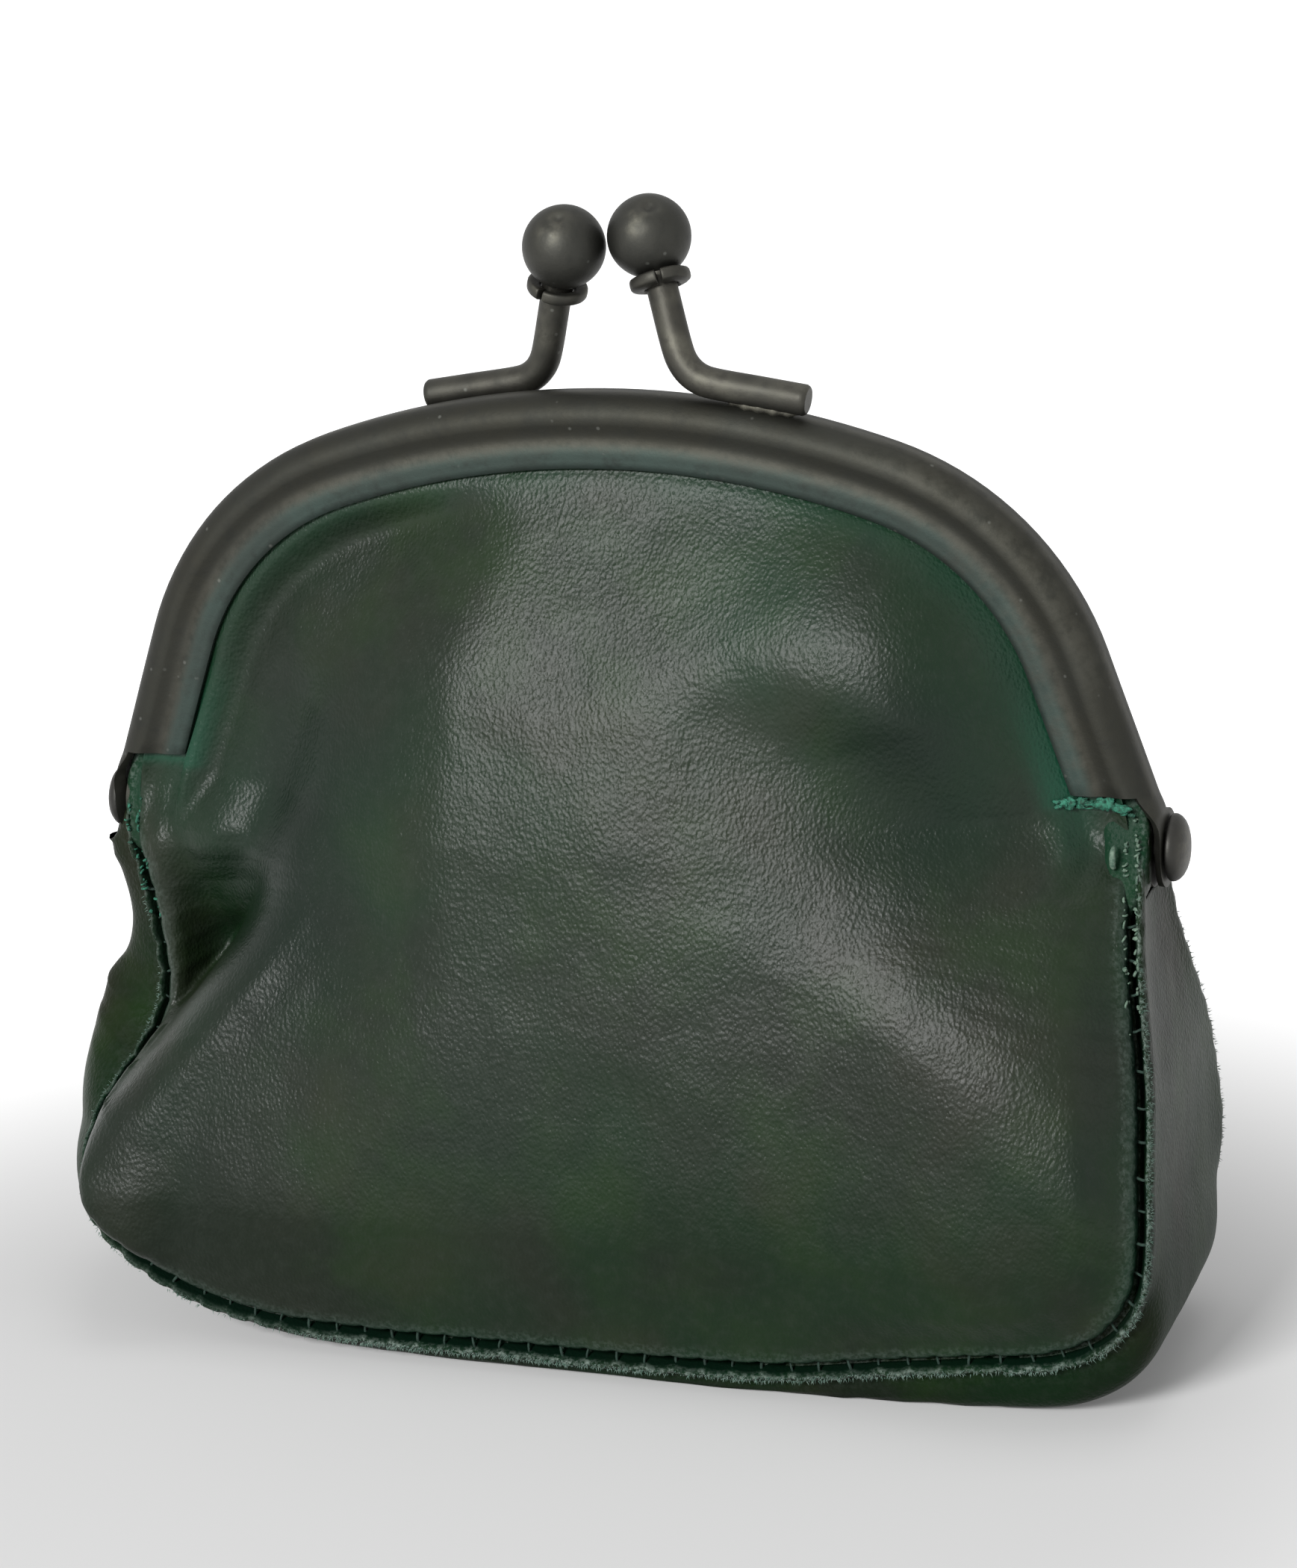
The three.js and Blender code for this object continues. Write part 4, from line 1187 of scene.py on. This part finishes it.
def rubbed_here(x, down):
    """The fold's pale rubbing: strong on the right and along the base, faint on the left."""
    return lerp(0.35, 1.0, smooth((x + 34) / 14)) * (0.75 + 0.5 * pebble(x, down * 40, 5, 3))


def gusset_lip(side, place, down):
    """The lip at one spot of the seam: how far out, how deep, how green, how rubbed, and its
    painted shade.
    """
    x, z, _, depth, steep = side.stations[place]
    pulled = pinch(place)
    lip = []
    for step, (go, back, green, paleness) in enumerate(LIP):
        in_lip = smooth((step - 2) / 3) * smooth((9.5 - step) / 2)
        go = go * lip_size(down) - 0.14 * pulled * in_lip
        go += 0.08 * pebble(x, side.face * 20, z, 1.7) * in_lip
        back = back * steep + 0.3 * pulled * in_lip
        # Painted shade deep in the seam's groove, beside the lip
        dark = smooth((6.2 - step) / 2.4) * lerp(0.55, 0.85, down)
        lip.append((go, side.face * (depth - back), green, paleness * rubbed_here(x, down), dark))
    return lip


# The strip's top, its steps across, and the seam spots to each side over which its swell is evened
CORNER_TOP = 45.4
STRIP_STEPS = 40
SWELL_REACH = 10


def gusset():
    """One strip round both sides and the base, with a rolled lip along each seam."""
    swells = [gusset_swell(x, z, smooth(-out.y)) for x, z, out in SEAM]
    outer, inner, greens, rubs, painted_shades = [], [], [], [], []
    for place, (x, z, out) in enumerate(SEAM):
        if z > CORNER_TOP:
            continue
        down = smooth(-out.y)
        window = swells[max(place - SWELL_REACH, 0):place + SWELL_REACH + 1]
        swell = sum(window) / len(window)
        front_lip, back_lip = (gusset_lip(side, place, down) for side in SIDES)
        front_foot, back_foot = front_lip[-1][1], back_lip[-1][1]
        middle = []
        for step in range(1, STRIP_STEPS):
            share = -math.cos(math.pi * step / STRIP_STEPS)
            y = lerp(front_foot, back_foot, (share + 1) / 2)
            rise = 1 - abs(share) ** lerp(2, 16, down)
            wave = 0.12 * pebble(x, y, z, 9) + 0.05 * pebble(x, y, z, 3)
            go = lerp(LIP[-1][0] * lip_size(down), swell, rise) + wave * smooth(rise * 2)
            middle.append((go, y, 0.0, 0.04 * hill(rise, 0.3), 0.0))
        row, inner_row = [], []
        profile = front_lip + middle + back_lip[::-1]
        for step, (go, y, green, paleness, dark) in enumerate(profile):
            spot = Vector((x, z)) + out * go
            in_middle = len(LIP) <= step < len(profile) - len(LIP)
            height = spot.y
            if z > GUSSET_TOP:
                share = abs(y) / max(abs(front_foot if y < 0 else back_foot), 0.1)
                height = GUSSET_TOP + (height - GUSSET_TOP) * smooth((share - 0.55) / 0.4)
            row.append((spot.x, y, max(height, 0.05 * (1 + pebble(x, y, 0, 3)))))
            under = Vector((x, z)) + out * (go - LEATHER if in_middle else min(go, 0.0) - 1.1)
            inner_row.append((under.x, clamp(y, front_foot, back_foot),
                              max(min(under.y, height), 0.9)))
            greens.append(green)
            rubs.append(clamp(paleness))
            painted_shades.append(dark)
        outer.append(row)
        inner.append(inner_row)
    rows, columns = len(outer), len(outer[0])
    points = [point for row in outer + inner for point in row]
    back = rows * columns
    faces = skin(0, rows, columns) + skin(back, rows, columns)
    for row in range(rows - 1):
        for column in (0, columns - 1):
            here, after = row * columns + column, (row + 1) * columns + column
            faces.append((here, after, back + after, back + here))
    for row in (0, rows - 1):
        for column in range(columns - 1):
            here, beside = row * columns + column, row * columns + column + 1
            faces.append((here, beside, back + beside, back + here))
    piece = make_piece("gusset_leather", points, faces, GUSSET_LEATHER,
                       {"tint": greens + [0.0] * back, "wear_and_highlight": rubs + [0.3] * back,
                        "painted_shade": painted_shades + [0.0] * back})
    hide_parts("gusset")
    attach(piece, "pouch")


def corner_tip(side, hand, x_sign):
    """The gusset's end above its top edge: a soft wedge sewn to the panel, up to the cut end."""
    foot, top = 41.2, FACE_END + 1.0
    steps, sides = 16, 22
    points, tint, wear_and_highlight = [], [], []
    for step in range(steps + 1):
        share = step / steps
        z = lerp(foot, top, share)
        x, _, _, depth, _ = side.stations[seam_place(x_sign, z)]
        x = abs(x) - side.inside * smooth((z - GUSSET_TOP) / (FACE_END - GUSSET_TOP))
        outside = min(x + lerp(0.7, 1.6, smooth(share * 3)), EAR_PLANE - SHEET - 0.25 - side.inside)
        wall = ARCH_HALF - side.inside - (z - HINGE) * math.tan(FLARE) - SHEET / math.cos(FLARE)
        outside = min(outside, wall - 0.12) if z > HINGE + 2 else outside
        inside = x - 2.6
        front, back = depth - 0.75, lerp(1.3, 1.8, share)
        close = 1 - 0.55 * smooth((share - 0.82) / 0.18)
        low = 1 - 0.4 * smooth((0.15 - share) / 0.15)
        for turn_step in range(sides):
            turn = 2 * math.pi * turn_step / sides
            square = squared(turn, 0.55)
            wave = 0.1 * pebble(x + math.cos(turn), z, math.sin(turn), 1.2)
            wide = (outside - inside) / 2 * close * low + wave
            thick = (front - back) / 2 * close * low + wave
            points.append((x_sign * ((outside + inside) / 2 + wide * square[0]),
                           side.face * ((front + back) / 2 + thick * square[1]), z))
            tint.append(0.35 * smooth(square[1]))
            wear_and_highlight.append(0.3 * hill(square[0] - 0.8, 0.3) * smooth(square[1]))
    faces = skin(0, steps + 1, sides, close_columns=True)
    faces += [tuple(range(sides)), tuple(range(steps * sides, (steps + 1) * sides))]
    piece = make_piece(f"{side.prefix}_{hand}_corner", points, faces, GUSSET_LEATHER,
                       {"tint": tint, "wear_and_highlight": wear_and_highlight})
    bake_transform(piece)


# Stitches, nap, crumbs and loose thread

def seam_frame(side, place):
    """A seam spot in space with its ways out of the pouch and to the panel's face."""
    x, z, out, depth, steep = side.stations[place]
    return (Vector((x, side.face * depth, z)), Vector((out.x, 0, out.y)),
            Vector((0, side.face, 0)), steep)


def stitches(side):
    """The inner run of thread, and each stitch where it crosses the open groove of the seam."""
    inner = []
    inside = LEATHER + 0.55 + 0.4
    for x, z, out, depth, steep in side.stations[::9]:
        if z > INNER_THREAD_TOP:
            continue
        sunk = smooth((-x - 24) / 8) * smooth((z - 15) / 6) * smooth((46 - z) / 8)
        depth -= inside * steep + 3.2 * side.folded * sunk
        inner.append((x - out.x * inside, side.face * depth, z - out.y * inside))
    parts = [tube(inner, 260, 0.3, 7, lobes=2, twist=120, lobe_depth=0.2)]
    rng = random.Random(4)
    for stitch in range(int(len(SEAM) * SEAM_PITCH / STITCH_PITCH)):
        place = round(stitch * STITCH_PITCH / SEAM_PITCH)
        spot, out, face, steep = seam_frame(side, place)
        if spot.z > STITCH_TOP:
            continue
        wide = lip_size(smooth(-out.z))
        along = out.cross(face)
        sway = along * rng.uniform(-0.22, 0.22)
        spot = spot - face * rng.uniform(0.1, 0.7)
        spots = [spot - face * 1.5 - out * 0.5,
                 spot - face * 1.0 - out * 0.1,
                 spot - face * 0.85 + out * 0.25 + sway * 0.4,
                 spot - face * (0.8 * steep) + out * 0.62 * wide + sway * 0.8,
                 spot - face * (1.0 * steep) + out * 1.0 * wide + sway,
                 spot - face * (1.7 * steep) + out * 1.1 * wide + sway]
        parts.append(tube(spots, 14, 0.1 + 0.04 * rng.random(), 6))
    points, faces = gather(parts)
    piece = make_piece(side.prefix + "_stitches", points, faces, THREAD)
    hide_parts(side.prefix + "_seam_thread")
    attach(piece, "pouch")


def fibre(start, tip, thick):
    """A short hair with three sides."""
    way = (tip - start).normalized()
    side = way.orthogonal().normalized()
    other = way.cross(side)
    ring = [start + (side * math.cos(turn) + other * math.sin(turn)) * thick
            for turn in (0, 2.1, 4.2)]
    return ring + [tip], [(0, 1, 2), (0, 3, 1), (1, 3, 2), (2, 3, 0)]


def nap(side, count):
    """Hairs of rubbed leather along the gusset's lip."""
    rng = random.Random(11)
    parts = []
    for _ in range(count):
        place = rng.uniform(36, len(SEAM) - 36)
        spot, out, face, steep = seam_frame(side, int(place))
        down = smooth(-out.z)
        keep = rubbed_here(spot.x, down) + 0.5 * pebble(place, 3, 0, 14)
        if spot.z > 42 or rng.random() > keep:
            continue
        wide = lip_size(down)
        along = out.cross(face)
        spot = spot + along * rng.uniform(-0.5, 0.5) * SEAM_PITCH
        share = rng.random()
        root = spot + out * wide * lerp(1.1, 1.7, share) - face * steep * (0.52 + 0.45 * share ** 2)
        length = rng.uniform(0.12, 0.42)
        way = (out * lerp(0.3, 1, share) + face * lerp(0.8, 0.1, share)).normalized()
        tip = root + way * length + along * rng.uniform(-0.2, 0.2)
        parts.append(fibre(root, tip, rng.uniform(0.03, 0.06)))
    points, faces = gather(parts)
    piece = make_piece(side.prefix + "_nap", points, faces, NAP, soft=False)
    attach(piece, "pouch")


def crumb(centre, size, rng, stretch=None):
    """A small rough chip of leather."""
    shell = bmesh.new()
    bmesh.ops.create_icosphere(shell, subdivisions=3, radius=size)
    stretch = stretch or [rng.uniform(0.6, 1.5) for _ in range(3)]
    seed = Vector((rng.uniform(0, 50), 0, 0))
    points = []
    for vert in shell.verts:
        lumps = 0.55 * noise.noise(vert.co * (1.6 / size) + seed)
        rough = 1 + lumps + 0.3 * noise.noise(vert.co * (4.5 / size) + seed)
        chip = Vector([along * more for along, more in zip(vert.co, stretch)])
        points.append(Vector(centre) + chip * rough)
    faces = [tuple(vert.index for vert in face.verts) for face in shell.faces]
    shell.free()
    return points, faces


def raw_ends():
    """The bright raw edge of the front leather where it leaves the frame's right cut end."""
    rng = random.Random(23)
    crumbs = 15
    parts = []

    def leather_depth(x, share):
        return base_depth(FRONT, 3.6, 3.6, x, 50.0, 4.6 * (1 - share) + 0.4)[0]

    for step in range(crumbs):
        share = (step + rng.random()) / crumbs
        x = lerp(39.6, 46.2, share)
        z = FACE_END - 0.75 + rng.gauss(0, 0.16) - 0.9 * smooth((share - 0.7) / 0.3)
        size = rng.uniform(0.2, 0.56)
        parts.append(crumb((x, 0.05 - leather_depth(x, share), z), size, rng,
                           (rng.uniform(0.9, 1.5), 0.5, rng.uniform(0.6, 1.1))))
    for _ in range(crumbs * 2):
        share = rng.random()
        x = lerp(38.4, 45, share)
        start = Vector((x, -leather_depth(x, share) - 0.02, FACE_END - 0.7 + rng.gauss(0, 0.2)))
        way = Vector((-rng.uniform(0.5, 1.6), -0.12, rng.uniform(-0.9, 0.3)))
        parts.append(fibre(start, start + way, rng.uniform(0.05, 0.1)))
    points, faces = gather(parts)
    piece = make_piece("right_raw_edge", points, faces, RAW_EDGE)
    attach(piece, "front_half")


def thread_loops(name, x_sign, low, high, count, material, seed):
    """Short ends and loops of thread that stand out of the seam's top."""
    rng = random.Random(seed)
    parts = []
    for _ in range(count):
        place = seam_place(x_sign, rng.uniform(low, high))
        spot, out, face, _ = seam_frame(FRONT, place)
        along = out.cross(face)
        size = rng.uniform(0.1, 0.24)
        centre = spot - face * rng.uniform(0.3, 1.0)
        centre += out * rng.choice((-0.3, 0.7)) * rng.uniform(0.8, 1.2)
        if rng.random() < 0.5:
            parts.append(crumb(centre, size * 0.8, rng))
            continue
        turn = rng.uniform(0, math.pi)
        a = along * math.cos(turn) + out * math.sin(turn)
        loop = [centre - a * size * 1.4 - face * 0.25, centre - a * size + face * size * 0.5,
                centre + face * size, centre + a * size + face * size * 0.4,
                centre + a * size * 1.3 - face * 0.25]
        parts.append(tube(loop, 12, rng.uniform(0.07, 0.12), 7))
    points, faces = gather(parts)
    piece = make_piece(name, points, faces, material)
    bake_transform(piece)


def loose_thread():
    """A pale loop in front of the right seam's top, and small loops along both seams' tops."""
    spot, out, face, _ = seam_frame(FRONT, seam_place(1, 46.4))
    base = spot - out * 1.2 + face * 0.5
    up = Vector((0, 0, 1))
    loop = [base + up * 0.95 - face * 0.7, base + up * 0.6, base + face * 0.1, base - up * 0.6,
            base - up * 0.95 - face * 0.7]
    points, faces = tube(loop, 20, lambda share: 0.13 + 0.14 * math.sin(math.pi * share), 10)
    piece = make_piece("right_thread_loop", points, faces, PALE_THREAD)
    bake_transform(piece)
    thread_loops("right_thread_ends", 1, 33, 49.5, 60, PALE_THREAD, 31)
    thread_loops("left_thread_ends", -1, 36, 47, 44, RAW_EDGE, 37)


# Floor and light, in metres and watts

FLOOR_HALF = 9
SKY_LIGHT = 0.28


def floor():
    mesh = bpy.data.meshes.new("floor")
    corners = [(x * FLOOR_HALF, y * FLOOR_HALF, 0) for x, y in ((-1, -1), (1, -1), (1, 1), (-1, 1))]
    mesh.from_pydata(corners, [], [(0, 1, 2, 3)])
    mesh.materials.append(floor_finish())
    ground = bpy.data.objects.new("floor", mesh)
    ground.location.z = -0.0001
    bpy.context.scene.collection.objects.link(ground)


def softbox(name, at, towards, size, power):
    """A soft rectangular lamp that faces a spot."""
    data = bpy.data.lights.new(name, "AREA")
    data.shape = "RECTANGLE"
    data.size, data.size_y = size
    data.energy = power
    lamp = bpy.data.objects.new(name, data)
    lamp.location = at
    lamp.rotation_euler = (Vector(at) - Vector(towards)).to_track_quat("Z", "Y").to_euler()
    bpy.context.scene.collection.objects.link(lamp)


def light():
    world = bpy.data.worlds.new("studio")
    bpy.context.scene.world = world
    sky = Nodes(world)
    background = sky.tree.nodes["Background"]
    background.inputs["Color"].default_value = (1, 1, 1, 1)
    sky.feed(background.inputs["Strength"], sky.shown() * (1 - SKY_LIGHT) + SKY_LIGHT)
    middle = (0, 0, 0.045)
    softbox("key", (-0.2, -0.89, 0.5), middle, (0.32, 0.27), 11.2)
    softbox("top", (0.1, 0.05, 0.9), middle, (0.5, 0.4), 0.9)
    softbox("side", (0.75, -0.25, 0.35), middle, (0.25, 0.3), 0.32)


for make in (frame_half, clasp):
    for half in SIDES:
        make(half)
rivet("right_rivet", 1)
rivet("left_rivet", -1)
for make in (packing_cord, leather_panel):
    for half in SIDES:
        make(half)
gusset()
for half in SIDES:
    corner_tip(half, "right", 1)
    corner_tip(half, "left", -1)
for half in SIDES:
    stitches(half)
nap(FRONT, 3600)
nap(BACK, 1600)
raw_ends()
loose_thread()
floor()
light()

bpy.context.scene.view_settings.view_transform = "Standard"
